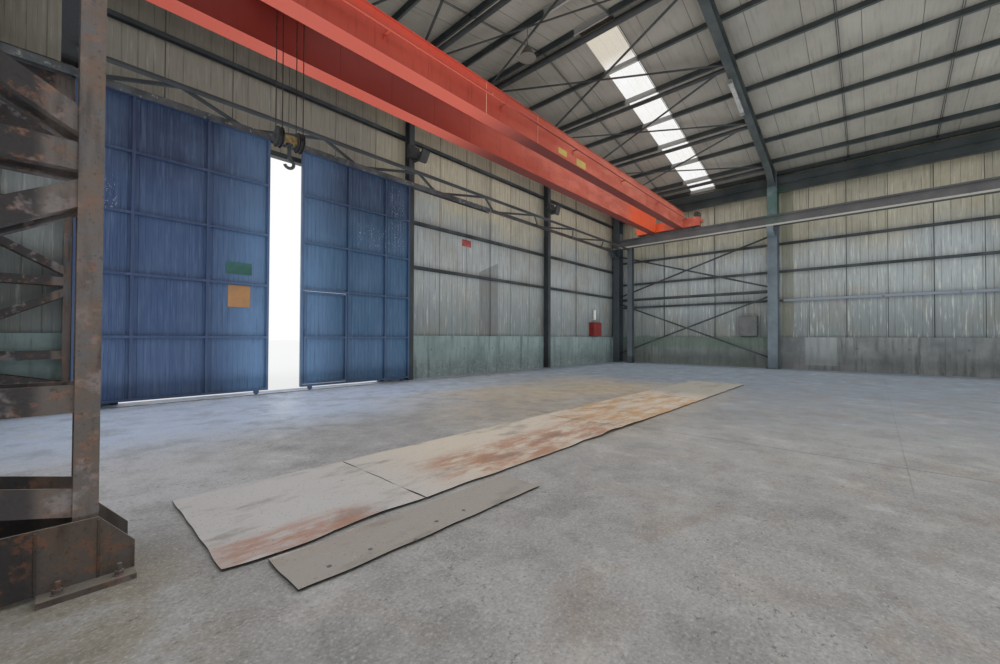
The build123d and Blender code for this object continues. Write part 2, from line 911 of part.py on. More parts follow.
# Level wind trusses between the corner columns, with a round inner chord
def draw_wind_truss(side):
    """Truss along the gable on one side, Y positive for 1."""
    west, east = leg_east, column_face - bracket_reach
    outer_y = side * (gable_line - gable_post_depth - truss_chord / 2)
    inner_y = outer_y - side * (truss_width - truss_chord)
    panel = (east - west) / truss_panels
    low = floor_thickness + truss_level
    middle = low + truss_chord / 2
    outer_low, outer_high = outer_y - truss_chord / 2, outer_y + truss_chord / 2
    block(west, east, outer_low, outer_high, low, low + truss_chord)
    inner_seat = Plane(origin=(west, inner_y, middle), x_dir=(0, 1, 0), z_dir=(1, 0, 0))
    round_bar(inner_seat, truss_chord / 2, east - west)
    with BuildSketch(Plane.XY.offset(low)) as outline:
        start_y, end_y = outer_y, inner_y
        for i in range(truss_panels):
            bar_face((west + i * panel, start_y), (west + (i + 1) * panel, end_y), truss_bar)
            start_y, end_y = end_y, start_y
    extrude(outline.sketch, amount=truss_bar)


with BuildPart() as wind_trusses:
    draw_wind_truss(1)
    draw_wind_truss(-1)
wind_trusses.part.label = "wind_trusses"
export_step(wind_trusses.part, "parts/wind_trusses.step")

# Door tracks: a channel, open at the bottom, under the front wind truss, and a rail on the floor
with BuildPart() as door_tracks:
    guide_z = floor_thickness + truss_level - guide_drop / 2
    with BuildSketch(Plane(origin=(guide_ends[0], leaf_middle, guide_z), x_dir=(0, 1, 0), z_dir=(1, 0, 0))):
        Rectangle(guide_width, guide_drop)
        with Locations((0, -guide_wall / 2)):
            Rectangle(guide_width - 2 * guide_wall, guide_drop - guide_wall, mode=Mode.SUBTRACT)
    extrude(amount=guide_ends[1] - guide_ends[0])
    block(
        *floor_rail_ends,
        leaf_middle - floor_rail_width / 2, leaf_middle + floor_rail_width / 2,
        floor_thickness, floor_thickness + floor_rail_height,
    )
door_tracks.part.label = "door_tracks"
export_step(door_tracks.part, "parts/door_tracks.step")

# Door leaves: a sheet with posts and rails on its inner face, on rollers that run on the floor rail
left_leaf_west = door_centre - leaf_gap / 2 - leaf_width
right_leaf_west = door_centre + leaf_gap / 2
right_leaf_east = right_leaf_west + leaf_width
leaf_foot = floor_thickness + leaf_bottom
leaf_head = floor_thickness + leaf_top
wicket_head = floor_thickness + leaf_rails[1]
sill_top = leaf_foot + leaf_bar
post_west = right_leaf_west + right_leaf_posts[0]
hinge_x = post_west - wicket_gap / 2
hinge_y = leaf_front - hinge_rise
roller_z = floor_thickness + floor_rail_height + roller_radius + roller_clearance


def draw_leaf(west, east, low, high, posts, rails):
    """Framed sheet; posts and rails are given by their west and lower edges."""
    block(west, east, sheet_front, leaf_back, low, high)
    for x in posts:
        block(x, x + leaf_bar, leaf_front, sheet_front, low, high)
    for z in rails:
        block(west, east, leaf_front, sheet_front, z, z + leaf_bar)


def draw_fork(x):
    """Two cheeks under a leaf, either side of a roller."""
    for y in (leaf_middle - fork_gap / 2 - fork_wall, leaf_middle + fork_gap / 2):
        block(x - fork_length / 2, x + fork_length / 2, y, y + fork_wall, leaf_foot - fork_height, leaf_foot)


def draw_roller(x):
    """Roller with its axle between the cheeks of its fork."""
    rim = Plane(origin=(x, leaf_middle - roller_width / 2, roller_z), z_dir=(0, 1, 0))
    round_bar(rim, roller_radius, roller_width)
    axle = Plane(origin=(x, leaf_middle - fork_gap / 2, roller_z), z_dir=(0, 1, 0))
    round_bar(axle, axle_radius, fork_gap)


def draw_knuckles(side, lift):
    """Half of each wicket hinge, a knuckle on a plate; side is -1 for the wicket and 1 for its post."""
    for level in hinge_levels:
        low = floor_thickness + level + lift
        with BuildSketch(Plane.XY.offset(low)) as outline:
            with Locations((hinge_x, hinge_y)):
                Circle(hinge_radius)
            with Locations((hinge_x + side * hinge_plate_length / 2, leaf_front - hinge_plate / 2)):
                Rectangle(hinge_plate_length, hinge_plate)
        extrude(outline.sketch, amount=hinge_height)


with BuildPart() as left_leaf:
    edges = (left_leaf_west, left_leaf_west + leaf_width - leaf_bar)
    posts = [left_leaf_west + place for place in left_leaf_posts]
    rails = [floor_thickness + level for level in leaf_rails]
    draw_leaf(
        left_leaf_west, left_leaf_west + leaf_width, leaf_foot, leaf_head,
        [*edges, *posts], [leaf_foot, *rails, leaf_head - leaf_bar],
    )
    draw_fork(left_leaf_west + roller_inset)
    draw_fork(left_leaf_west + leaf_width - roller_inset)
left_leaf.part.label = "left_leaf"
export_step(left_leaf.part, "parts/left_leaf.step")

with BuildPart() as left_leaf_rollers:
    draw_roller(left_leaf_west + roller_inset)
    draw_roller(left_leaf_west + leaf_width - roller_inset)
left_leaf_rollers.part.label = "left_leaf_rollers"
export_step(left_leaf_rollers.part, "parts/left_leaf_rollers.step")

# The right leaf is built round the wicket door: above it, beside it and below it
with BuildPart() as right_leaf_upper:
    posts = [right_leaf_west + place for place in right_leaf_posts]
    rails = [floor_thickness + level for level in leaf_rails[1:]]
    draw_leaf(
        right_leaf_west, right_leaf_east, wicket_head, leaf_head,
        [right_leaf_west, *posts, right_leaf_east - leaf_bar], [*rails, leaf_head - leaf_bar],
    )
right_leaf_upper.part.label = "right_leaf_upper"
export_step(right_leaf_upper.part, "parts/right_leaf_upper.step")

with BuildPart() as right_leaf_lower:
    draw_leaf(
        post_west, right_leaf_east, leaf_foot, wicket_head,
        [*posts, right_leaf_east - leaf_bar], [leaf_foot, floor_thickness + leaf_rails[0]],
    )
    draw_fork(right_leaf_east - roller_inset)
    draw_knuckles(1, 0)
right_leaf_lower.part.label = "right_leaf_lower"
export_step(right_leaf_lower.part, "parts/right_leaf_lower.step")

with BuildPart() as right_leaf_jamb:
    block(right_leaf_west, right_leaf_west + leaf_bar, leaf_front, leaf_back, sill_top, wicket_head)
right_leaf_jamb.part.label = "right_leaf_jamb"
export_step(right_leaf_jamb.part, "parts/right_leaf_jamb.step")

with BuildPart() as right_leaf_sill:
    block(right_leaf_west, post_west, leaf_front, leaf_back, leaf_foot, sill_top)
    draw_fork(right_leaf_west + roller_inset)
right_leaf_sill.part.label = "right_leaf_sill"
export_step(right_leaf_sill.part, "parts/right_leaf_sill.step")

with BuildPart() as right_leaf_rollers:
    draw_roller(right_leaf_west + roller_inset)
    draw_roller(right_leaf_east - roller_inset)
right_leaf_rollers.part.label = "right_leaf_rollers"
export_step(right_leaf_rollers.part, "parts/right_leaf_rollers.step")

# Wicket door, hinged on the post of the right leaf, with a bar handle
with BuildPart() as wicket_door:
    wicket_east = post_west - wicket_gap
    wicket_west = wicket_east - wicket_width
    wicket_foot = sill_top + wicket_gap
    wicket_top = wicket_head - wicket_gap
    rails = (wicket_foot, floor_thickness + leaf_rails[0], wicket_top - leaf_bar)
    draw_leaf(
        wicket_west, wicket_east, wicket_foot, wicket_top,
        [wicket_west, wicket_east - leaf_bar], rails,
    )
    draw_knuckles(-1, hinge_height + hinge_gap)
    handle_x = wicket_west + leaf_bar / 2
    handle_z = floor_thickness + leaf_rails[0] + leaf_bar
    plate_along(
        [
            (leaf_front, handle_z),
            (leaf_front - handle_reach, handle_z),
            (leaf_front - handle_reach, handle_z + handle_length),
            (leaf_front, handle_z + handle_length),
            (leaf_front, handle_z + handle_length - handle_thickness),
            (leaf_front - handle_reach + handle_thickness, handle_z + handle_length - handle_thickness),
            (leaf_front - handle_reach + handle_thickness, handle_z + handle_thickness),
            (leaf_front, handle_z + handle_thickness),
        ],
        handle_x - handle_thickness / 2,
        handle_x + handle_thickness / 2,
    )
wicket_door.part.label = "wicket_door"
export_step(wicket_door.part, "parts/wicket_door.step")

# Crane bridge: two box girders with a trolley rail on each
bridge_west = west_runway_x + carriage_width / 2
bridge_east = east_runway_x - carriage_width / 2
girder_foot = floor_thickness + girder_level
girder_top = girder_foot + girder_height
trolley_deck = girder_top + trolley_rail_height
girder_ys = (crane_y - girder_spacing / 2, crane_y + girder_spacing / 2)


def draw_cable_rail():
    """Pipe along the south girder, on arms that are fastened to its web by upright feet."""
    web_face = girder_ys[0] - girder_width / 2 + girder_lip
    rail_y = web_face - cable_rail_reach
    rail_z = floor_thickness + cable_rail_level
    start = bridge_west + cable_rail_inset
    round_bar(
        Plane(origin=(start, rail_y, rail_z), z_dir=(1, 0, 0)),
        cable_rail_radius,
        bridge_east - cable_rail_inset - start,
    )
    arm_top = rail_z + cable_arm_thickness / 2
    for i in range(cable_arm_count):
        x = bridge_west + cable_arm_start + cable_arm_spacing * i
        west, east = x - cable_arm_width / 2, x + cable_arm_width / 2
        foot_face = web_face - seat_gap
        block(west, east, rail_y, foot_face, arm_top - cable_arm_thickness, arm_top)
        block(west, east, foot_face - cable_arm_thickness, foot_face, arm_top - cable_foot_height, arm_top)


with BuildPart() as crane_girders:
    for y in girder_ys:
        start = (bridge_west, y, girder_foot + girder_height / 2)
        seat = Plane(origin=start, x_dir=(0, 1, 0), z_dir=(1, 0, 0))
        web_height = girder_height - 2 * girder_flange
        box_width = girder_width - 2 * girder_lip
        with BuildSketch(seat):
            Rectangle(girder_width, girder_height)
            Rectangle(girder_width, web_height, mode=Mode.SUBTRACT)
            Rectangle(box_width, web_height)
            Rectangle(box_width - 2 * girder_web, web_height, mode=Mode.SUBTRACT)
            with Locations((0, (girder_height + trolley_rail_height) / 2)):
                Rectangle(trolley_rail_width, trolley_rail_height)
        extrude(amount=bridge_east - bridge_west)
    draw_cable_rail()
crane_girders.part.label = "crane_girders"
export_step(crane_girders.part, "parts/crane_girders.step")

# End carriages: hollow boxes with slots for the wheels and a buffer at each end
carriage_foot = floor_thickness + carriage_level
carriage_top = carriage_foot + carriage_height
wheel_z = rail_top + wheel_radius + wheel_clearance
wheel_ys = (crane_y - wheel_base / 2, crane_y + wheel_base / 2)
carriage_south = crane_y - carriage_length / 2
carriage_north = crane_y + carriage_length / 2
with BuildPart() as crane_end_carriages:
    for x in (west_runway_x, east_runway_x):
        west, east = x - carriage_width / 2, x + carriage_width / 2
        block(west, east, carriage_south, carriage_north, carriage_foot, carriage_top)
        block(
            west + carriage_wall, east - carriage_wall,
            carriage_south + carriage_wall, carriage_north - carriage_wall,
            carriage_foot + carriage_wall, carriage_top - carriage_wall,
            mode=Mode.SUBTRACT,
        )
        for y in wheel_ys:
            block(
                x - wheel_slot[0] / 2, x + wheel_slot[0] / 2, y - wheel_slot[1] / 2, y + wheel_slot[1] / 2,
                carriage_foot, carriage_foot + carriage_wall, mode=Mode.SUBTRACT,
            )
        middle = (carriage_foot + carriage_top) / 2
        round_bar(Plane(origin=(x, carriage_north, middle), z_dir=(0, 1, 0)), buffer_radius, buffer_length)
        round_bar(Plane(origin=(x, carriage_south, middle), z_dir=(0, -1, 0)), buffer_radius, buffer_length)
crane_end_carriages.part.label = "crane_end_carriages"
export_step(crane_end_carriages.part, "parts/crane_end_carriages.step")

with BuildPart() as crane_drives:
    inner_half = carriage_width / 2 - carriage_wall
    for x in (west_runway_x, east_runway_x):
        for y in wheel_ys:
            rim = Plane(origin=(x - wheel_width / 2, y, wheel_z), z_dir=(1, 0, 0))
            round_bar(rim, wheel_radius, wheel_width)
            axle = Plane(origin=(x - inner_half, y, wheel_z), z_dir=(1, 0, 0))
            round_bar(axle, wheel_axle_radius, 2 * inner_half)
        motor = Plane(origin=(x - motor_length / 2, motor_y, carriage_top + motor_radius), z_dir=(1, 0, 0))
        round_bar(motor, motor_radius, motor_length)
crane_drives.part.label = "crane_drives"
export_step(crane_drives.part, "parts/crane_drives.step")

# Trolley: a frame on four wheels that carries the hoist's drum and motor
trolley_foot = girder_top + trolley_rail_height + trolley_beam_rise
trolley_top = trolley_foot + trolley_beam_height
trolley_beam_y = girder_spacing / 2 - trolley_wheel_width / 2 - trolley_wheel_gap
drum_z = trolley_deck + drum_rise
with BuildPart() as trolley_frame:
    reach = trolley_length / 2
    for side in (-1, 1):
        y_low, y_high = sorted((
            crane_y + side * trolley_beam_y,
            crane_y + side * (trolley_beam_y - trolley_beam_width),
        ))
        block(trolley_x - reach, trolley_x + reach, y_low, y_high, trolley_foot, trolley_top)
    for place in cross_beam_places:
        x = trolley_x + place
        span = trolley_beam_y - trolley_beam_width
        west, east = x - cross_beam_width / 2, x + cross_beam_width / 2
        block(west, east, crane_y - span, crane_y + span, trolley_foot, trolley_top)
        plate_along(
            [
                (crane_y - drum_radius, trolley_top),
                (crane_y + drum_radius, trolley_top),
                (crane_y + drum_radius / 3, trolley_foot + bearing_height),
                (crane_y - drum_radius / 3, trolley_foot + bearing_height),
            ],
            x - bearing_thickness / 2,
            x + bearing_thickness / 2,
        )
trolley_frame.part.label = "trolley_frame"
export_step(trolley_frame.part, "parts/trolley_frame.step")

# Trolley machinery: the wheels on their axles, the drum on its axle, and the motor
with BuildPart() as trolley_machinery:
    wheel_centre = trolley_deck + trolley_wheel_radius + wheel_clearance
    for side in (-1, 1):
        for x in (trolley_x - trolley_wheel_base / 2, trolley_x + trolley_wheel_base / 2):
            rim_y = crane_y + side * (girder_spacing - trolley_wheel_width) / 2
            axle_y = crane_y + side * trolley_beam_y
            rim = Plane(origin=(x, rim_y, wheel_centre), z_dir=(0, side, 0))
            round_bar(rim, trolley_wheel_radius, trolley_wheel_width)
            axle = Plane(origin=(x, axle_y, wheel_centre), z_dir=(0, side, 0))
            round_bar(axle, trolley_axle_radius, trolley_wheel_gap + trolley_wheel_width)
    drum = Plane(origin=(trolley_x - drum_length / 2, crane_y, drum_z), z_dir=(1, 0, 0))
    round_bar(drum, drum_radius, drum_length)
    axle_half = cross_beam_places[1] - bearing_thickness / 2
    drum_axle = Plane(origin=(trolley_x - axle_half, crane_y, drum_z), z_dir=(1, 0, 0))
    round_bar(drum_axle, drum_axle_radius, 2 * axle_half)
    motor_x = trolley_x - hoist_motor_length / 2 - cross_beam_width
    motor_z = trolley_top + hoist_motor_radius
    motor = Plane(origin=(motor_x, crane_y + hoist_motor_y, motor_z), z_dir=(1, 0, 0))
    round_bar(motor, hoist_motor_radius, hoist_motor_length)
trolley_machinery.part.label = "trolley_machinery"
export_step(trolley_machinery.part, "parts/trolley_machinery.step")

# Ropes: two falls round each sheave, up to the drum
with BuildPart() as hoist_ropes:
    sheave_z = floor_thickness + sheave_level
    fall_y = drum_radius + rope_radius
    with BuildSketch(Plane.XY.offset(sheave_z)):
        with Locations((trolley_x, crane_y)):
            with GridLocations(sheave_spacing, 2 * fall_y, 2, 2):
                Circle(rope_radius)
    extrude(amount=drum_z - sheave_z)
hoist_ropes.part.label = "hoist_ropes"
export_step(hoist_ropes.part, "parts/hoist_ropes.step")

# Hook block: two rimmed sheaves on a crosshead
with BuildPart() as hook_block:
    for side in (-1, 1):
        start = trolley_x + side * sheave_spacing / 2 - sheave_width / 2
        core = Plane(origin=(start, crane_y, sheave_z), z_dir=(1, 0, 0))
        round_bar(core, sheave_core_radius, sheave_width)
        round_bar(core, sheave_rim_radius, sheave_rim)
        far = Plane(origin=(start + sheave_width - sheave_rim, crane_y, sheave_z), z_dir=(1, 0, 0))
        round_bar(far, sheave_rim_radius, sheave_rim)
    crosshead_half = (sheave_spacing - sheave_width) / 2
    block(
        trolley_x - crosshead_half, trolley_x + crosshead_half,
        crane_y - crosshead_depth / 2, crane_y + crosshead_depth / 2,
        sheave_z - crosshead_height / 2, sheave_z + crosshead_height / 2,
    )
hook_block.part.label = "hook_block"
export_step(hook_block.part, "parts/hook_block.step")

# Hook: a bent round bar on a shank that hangs in the crosshead
with BuildPart() as hook:
    hook_z = floor_thickness + hook_level
    shank_foot = hook_z + hook_radius
    shank_head = sheave_z - crosshead_height / 2
    throat = Plane(origin=(trolley_x, crane_y, shank_foot), x_dir=(0, 1, 0), z_dir=(1, 0, 0))
    with BuildSketch(throat) as outline:
        Circle(hook_thickness)
    revolve(outline.sketch, axis=Axis((trolley_x, crane_y, hook_z), (0, 1, 0)), revolution_arc=hook_sweep)
    shank = Plane(origin=(trolley_x, crane_y, shank_foot), z_dir=(0, 0, 1))
    round_bar(shank, shank_radius, shank_head - shank_foot)
    swivel = Plane(origin=(trolley_x, crane_y, shank_head - swivel_height), z_dir=(0, 0, 1))
    round_bar(swivel, swivel_radius, swivel_height)
hook.part.label = "hook"
export_step(hook.part, "parts/hook.step")

# Cabinets on the walls
with BuildPart() as wall_cabinets:
    south, north, low, high, depth = control_box
    block(wall_inside - depth, wall_inside, south, north, floor_thickness + low, floor_thickness + high)
    for west, east, low, high, depth in (hydrant_box, wall_lamp):
        block(
            west, east, cladding_line - depth, cladding_line, floor_thickness + low, floor_thickness + high
        )
wall_cabinets.part.label = "wall_cabinets"
export_step(wall_cabinets.part, "parts/wall_cabinets.step")


# Lamps: floodlights on the gable posts, and high-bay lamps on rods under a purlin
def draw_floodlight(x):
    """Floodlight on the inner face of a post."""
    post_face = gable_line - gable_post_depth
    low = floor_thickness + floodlight_level
    plate_along(
        [
            (post_face, low),
            (post_face, low + floodlight_height),
            (post_face - floodlight_depth / 2, low + floodlight_height),
            (post_face - floodlight_depth, low + floodlight_height / 4),
            (post_face - floodlight_depth / 2, low),
        ],
        x - floodlight_width / 2,
        x + floodlight_width / 2,
    )


def draw_bay_lamp(x, y):
    """Shade on a rod that reaches up to the purlin."""
    low = floor_thickness + bay_lamp_level
    neck = low + bay_lamp_height
    rod_top = roof_z(x - bay_lamp_rod_radius, rafter_depth)
    with BuildSketch(Plane(origin=(x, y, 0), x_dir=(1, 0, 0), z_dir=(0, -1, 0))) as outline:
        with BuildLine():
            Polyline(
                (0, low),
                (bay_lamp_radius, low),
                (bay_lamp_neck_radius, neck),
                (bay_lamp_rod_radius, neck),
                (bay_lamp_rod_radius, rod_top),
                (0, rod_top),
                close=True,
            )
        make_face()
    revolve(outline.sketch, axis=Axis((x, y, 0), (0, 0, 1)))


def draw_batten_lamp():
    """Long lamp that hangs close under the flange of a rafter and follows its slope."""
    west, east, south, north = batten_lamp
    plate_across(
        [
            (west, roof_z(west, -seat_gap)),
            (east, roof_z(east, -seat_gap)),
            (east, roof_z(east, -seat_gap - batten_lamp_depth)),
            (west, roof_z(west, -seat_gap - batten_lamp_depth)),
        ],
        south,
        north,
    )


with BuildPart() as lamps:
    for x in gable_post_places:
        draw_floodlight(x)
    draw_batten_lamp()
    for y in (-bay_lamp_y, bay_lamp_y):
        draw_bay_lamp(ridge_x - purlin_runs[5], y)
lamps.part.label = "lamps"
export_step(lamps.part, "parts/lamps.step")
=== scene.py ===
import json
import math
import random

import bmesh
import bpy
import numpy as np
from mathutils import Matrix, Vector, noise


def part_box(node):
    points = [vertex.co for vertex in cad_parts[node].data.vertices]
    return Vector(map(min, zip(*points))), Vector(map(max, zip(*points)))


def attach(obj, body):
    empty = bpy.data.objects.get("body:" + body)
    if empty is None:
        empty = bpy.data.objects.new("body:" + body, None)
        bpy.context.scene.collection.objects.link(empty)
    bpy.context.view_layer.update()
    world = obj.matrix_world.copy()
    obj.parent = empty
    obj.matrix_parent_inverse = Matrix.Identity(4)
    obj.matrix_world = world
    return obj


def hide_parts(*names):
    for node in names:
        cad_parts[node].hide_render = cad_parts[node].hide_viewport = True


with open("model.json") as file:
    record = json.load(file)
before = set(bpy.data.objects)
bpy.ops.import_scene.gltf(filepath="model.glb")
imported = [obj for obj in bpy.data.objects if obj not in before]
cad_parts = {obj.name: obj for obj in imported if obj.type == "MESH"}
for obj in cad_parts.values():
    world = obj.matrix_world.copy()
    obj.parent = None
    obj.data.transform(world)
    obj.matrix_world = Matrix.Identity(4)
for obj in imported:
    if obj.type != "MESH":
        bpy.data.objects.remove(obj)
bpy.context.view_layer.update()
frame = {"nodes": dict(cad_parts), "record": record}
random.seed(7)

# Levels and lines read from the frame, in metres
floor_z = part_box("floor_slab")[1].z
ridge_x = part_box("east_roof_sheets")[0].x
roof_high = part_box("east_roof_sheets")[1]
roof_slope = 0.2
roof_angle = math.atan(roof_slope)
bay = 6.0
frame_lines = [bay * (i - 2.5) for i in range(6)]
sag_rod_lines = [line + bay * share for line in frame_lines[:-1] for share in (1 / 3, 2 / 3)]
roof_joint = 0.5
ropes_low, ropes_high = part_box("hoist_ropes")
hook_x = (ropes_low.x + ropes_high.x) / 2
drum_z, sheave_z = ropes_high.z, ropes_low.z
brace_x = (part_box("lattice_columns")[0].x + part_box("lattice_columns")[1].x) / 2


def srgb(red, green, blue):
    """Linear colour of a screen colour written in 0 to 255."""
    linear = []
    for value in (red, green, blue):
        share = value / 255
        linear.append(share / 12.92 if share <= 0.04045 else ((share + 0.055) / 1.055) ** 2.4)
    return (*linear, 1.0)


def add_object(name, data):
    """A new object in the scene."""
    made = bpy.data.objects.new(name, data)
    bpy.context.scene.collection.objects.link(made)
    return made


class Paint:
    """One procedural material: texture nodes in metres of the rest pose around a Principled shader."""

    def __init__(self, name):
        self.material = bpy.data.materials.new(name)
        self.material.use_nodes = True
        self.tree = self.material.node_tree
        self.shader = self.tree.nodes["Principled BSDF"]
        self.place = self.node("ShaderNodeTexCoord").outputs["Object"]
        self.x, self.y, self.z = self.node("ShaderNodeSeparateXYZ", Vector=self.place).outputs
        facing = self.node("ShaderNodeNewGeometry").outputs["Normal"]
        self.up = self.node("ShaderNodeSeparateXYZ", Vector=facing).outputs["Z"]
        self.colour = None

    def node(self, kind, settings=(), **inputs):
        """A new node; inputs are sockets or constants by their names."""
        made = self.tree.nodes.new(kind)
        for name, value in dict(settings).items():
            setattr(made, name, value)
        for name, value in inputs.items():
            self.feed(made.inputs[name], value)
        return made

    def feed(self, socket, value):
        """Links a socket or sets a constant."""
        if isinstance(value, bpy.types.NodeSocket):
            self.tree.links.new(value, socket)
        else:
            socket.default_value = value

    def math(self, operation, first, second=0.0, third=0.0):
        """Result of one operation on numbers."""
        made = self.node("ShaderNodeMath", {"operation": operation})
        for socket, value in zip(made.inputs, (first, second, third)):
            self.feed(socket, value)
        return made.outputs[0]

    def apart(self, first, second):
        """Distance between two numbers."""
        return self.math("ABSOLUTE", self.math("SUBTRACT", first, second))

    def stretched(self, stretch):
        """The place with each axis squeezed, so that marks grow long along it."""
        made = self.node("ShaderNodeVectorMath", {"operation": "DIVIDE"})
        self.feed(made.inputs[0], self.place)
        made.inputs[1].default_value = stretch
        return made.outputs[0]

    def noise(self, size, detail=4.0, rough=0.55, stretch=(1, 1, 1), warp=0.0):
        """Cloudy noise, 0 to 1, with marks of about that size in metres."""
        place = self.stretched(stretch)
        marks = {"Scale": 1 / size, "Detail": detail, "Roughness": rough, "Distortion": warp}
        return self.node("ShaderNodeTexNoise", Vector=place, **marks).outputs["Fac"]

    def cells(self, size):
        """Distance to the nearest cell point, in cell sizes."""
        made = self.node("ShaderNodeTexVoronoi", Vector=self.place, Scale=1 / size)
        return made.outputs["Distance"]

    def span(self, value, low, high, at_low=0.0, at_high=1.0):
        """The value carried smoothly from the range low to high onto another one."""
        ranges = {"From Min": low, "From Max": high, "To Min": at_low, "To Max": at_high}
        made = self.node("ShaderNodeMapRange", {"interpolation_type": "SMOOTHSTEP"}, Value=value, **ranges)
        return made.outputs["Result"]

    def near(self, value, place, reach, fade):
        """1 where the value is within reach of the place, fading to 0."""
        return self.span(self.apart(value, place), reach, reach + fade, 1.0, 0.0)

    def every(self, value, pitch, offset=0.0):
        """Distance in metres from the nearest of evenly spaced lines."""
        shifted = self.math("SUBTRACT", value, offset - pitch / 2)
        return self.apart(self.math("FLOORED_MODULO", shifted, pitch), pitch / 2)

    def both(self, *shares):
        """Product of several shares."""
        result = shares[0]
        for share in shares[1:]:
            result = self.math("MULTIPLY", result, share)
        return result

    def shades(self, value, *stops):
        """Colour along a ramp of (place, red, green, blue)."""
        made = self.node("ShaderNodeValToRGB", Fac=value)
        ramp = made.color_ramp
        while len(ramp.elements) < len(stops):
            ramp.elements.new(0.5)
        for element, (place, *colour) in zip(ramp.elements, stops):
            element.position = place
            element.color = srgb(*colour)
        return made.outputs["Color"]

    def over(self, share, under, top):
        """Under with top laid over it by a share."""
        made = self.node("ShaderNodeMix", {"data_type": "RGBA"})
        for socket, value in zip((made.inputs[0], made.inputs[6], made.inputs[7]), (share, under, top)):
            self.feed(socket, value)
        return made.outputs[2]

    def base(self, share, first, second):
        """Starts with a mix of two colours."""
        self.colour = self.over(share, srgb(*first), srgb(*second))

    def coat(self, share, red, green, blue, amount=None):
        """Lays a colour over what is there, by a share that amount may scale."""
        if amount is not None:
            share = self.math("MULTIPLY", share, amount)
        self.colour = self.over(share, self.colour, srgb(red, green, blue))

    def per_sheet(self, value, width, seed=0.0):
        """A random number from 0 to 1 for each stretch of that width."""
        step = self.math("ADD", self.math("FLOOR", self.math("DIVIDE", value, width)), seed)
        made = self.node("ShaderNodeTexWhiteNoise", {"noise_dimensions": "1D"}, W=step)
        return made.outputs["Value"]

    def finish(self, rough, height=None, depth=0.002, metal=0.0):
        """Wires the shader; rough and metal may be sockets, height drives a bump of that depth in metres."""
        self.feed(self.shader.inputs["Base Color"], self.colour)
        self.feed(self.shader.inputs["Roughness"], rough)
        self.feed(self.shader.inputs["Metallic"], metal)
        if height is not None:
            bump = self.node("ShaderNodeBump", Height=height, Distance=depth, Strength=1.0)
            self.tree.links.new(bump.outputs["Normal"], self.shader.inputs["Normal"])
        return self.material


def floor_concrete():
    """Worn grey slab with a painted bluish daylight sheen by the door, bluer to the east, tan past the
    covers, with stains and joints.
    """
    p = Paint("floor_concrete")
    broad = p.noise(2.2, 3, 0.6)
    patch = p.noise(0.4, 4, 0.7)
    grain = p.noise(0.014, 3, 0.75)
    specks = p.noise(0.03, 3, 0.8, (1.6, 1, 1))
    p.colour = p.shades(broad, (0.3, 138, 137, 136), (0.5, 151, 150, 149), (0.7, 165, 163, 160))
    west = p.both(p.span(p.x, -6.6, -7.6), p.span(p.y, 9.0, 10.2))
    p.coat(west, 180, 180, 184, 0.7)
    # Painted reflection: a bluish sheen of daylight from the doorway on the floor by the door.
    door_daylight_sheen = p.both(p.span(p.y, 10.6, 12.6), p.span(p.x, -4.0, 1.0, 1.0, 0.0))
    p.coat(door_daylight_sheen, 172, 188, 212, 0.9)
    p.coat(p.span(p.x, -5.0, 4.0, 0.0, 0.85), 112, 128, 146)
    tan = p.both(p.near(p.y, 10.6, 1.4, 1.3), p.near(p.x, -1.4, 1.8, 2.2))
    p.coat(p.both(tan, p.span(broad, 0.38, 0.55, 0.5, 1.0)), 172, 154, 126, 0.8)
    brown = p.both(p.span(p.noise(0.7, 3, 0.6, warp=1.0), 0.5, 0.68), p.span(p.y, 9.0, 7.0))
    p.coat(brown, 138, 118, 100, 0.35)
    by_boot = p.both(p.near(p.x, -8.2, 0.25, 0.35), p.near(p.y, 8.5, 0.35, 0.5), p.span(patch, 0.35, 0.6))
    p.coat(by_boot, 136, 126, 98, 0.6)
    p.coat(p.span(patch, 0.45, 0.68, 0.0, 0.45), 104, 104, 104)
    p.coat(p.span(patch, 0.44, 0.3, 0.0, 0.35), 194, 194, 193)
    worn = p.both(p.near(p.y, 10.6, 0.9, 0.9), p.near(p.x, -5.2, 2.2, 1.6))
    pitted = p.math("ADD", p.span(p.noise(0.35, 2), 0.4, 0.62, 0.2, 1.0), p.math("MULTIPLY", worn, 0.6))
    pits = p.both(p.span(specks, 0.58, 0.66), p.math("MINIMUM", pitted, 1.0))
    p.coat(pits, 72, 72, 72, 0.7)
    p.coat(p.span(p.every(p.x, 6.0, -3.4), 0.007, 0.016, 0.6, 0.0), 74, 74, 74)
    lengthwise = p.both(p.span(p.every(p.y, 6.0, 6.15), 0.002, 0.006, 0.45, 0.0), p.span(p.x, -4.5, -3.9))
    p.coat(lengthwise, 74, 74, 74)
    p.coat(p.span(grain, 0.5, 0.74, 0.0, 0.45), 198, 198, 197)
    p.coat(p.span(grain, 0.48, 0.3, 0.0, 0.5), 94, 94, 94)
    return p.finish(p.span(patch, 0.3, 0.7, 0.4, 0.7), specks, 0.003)


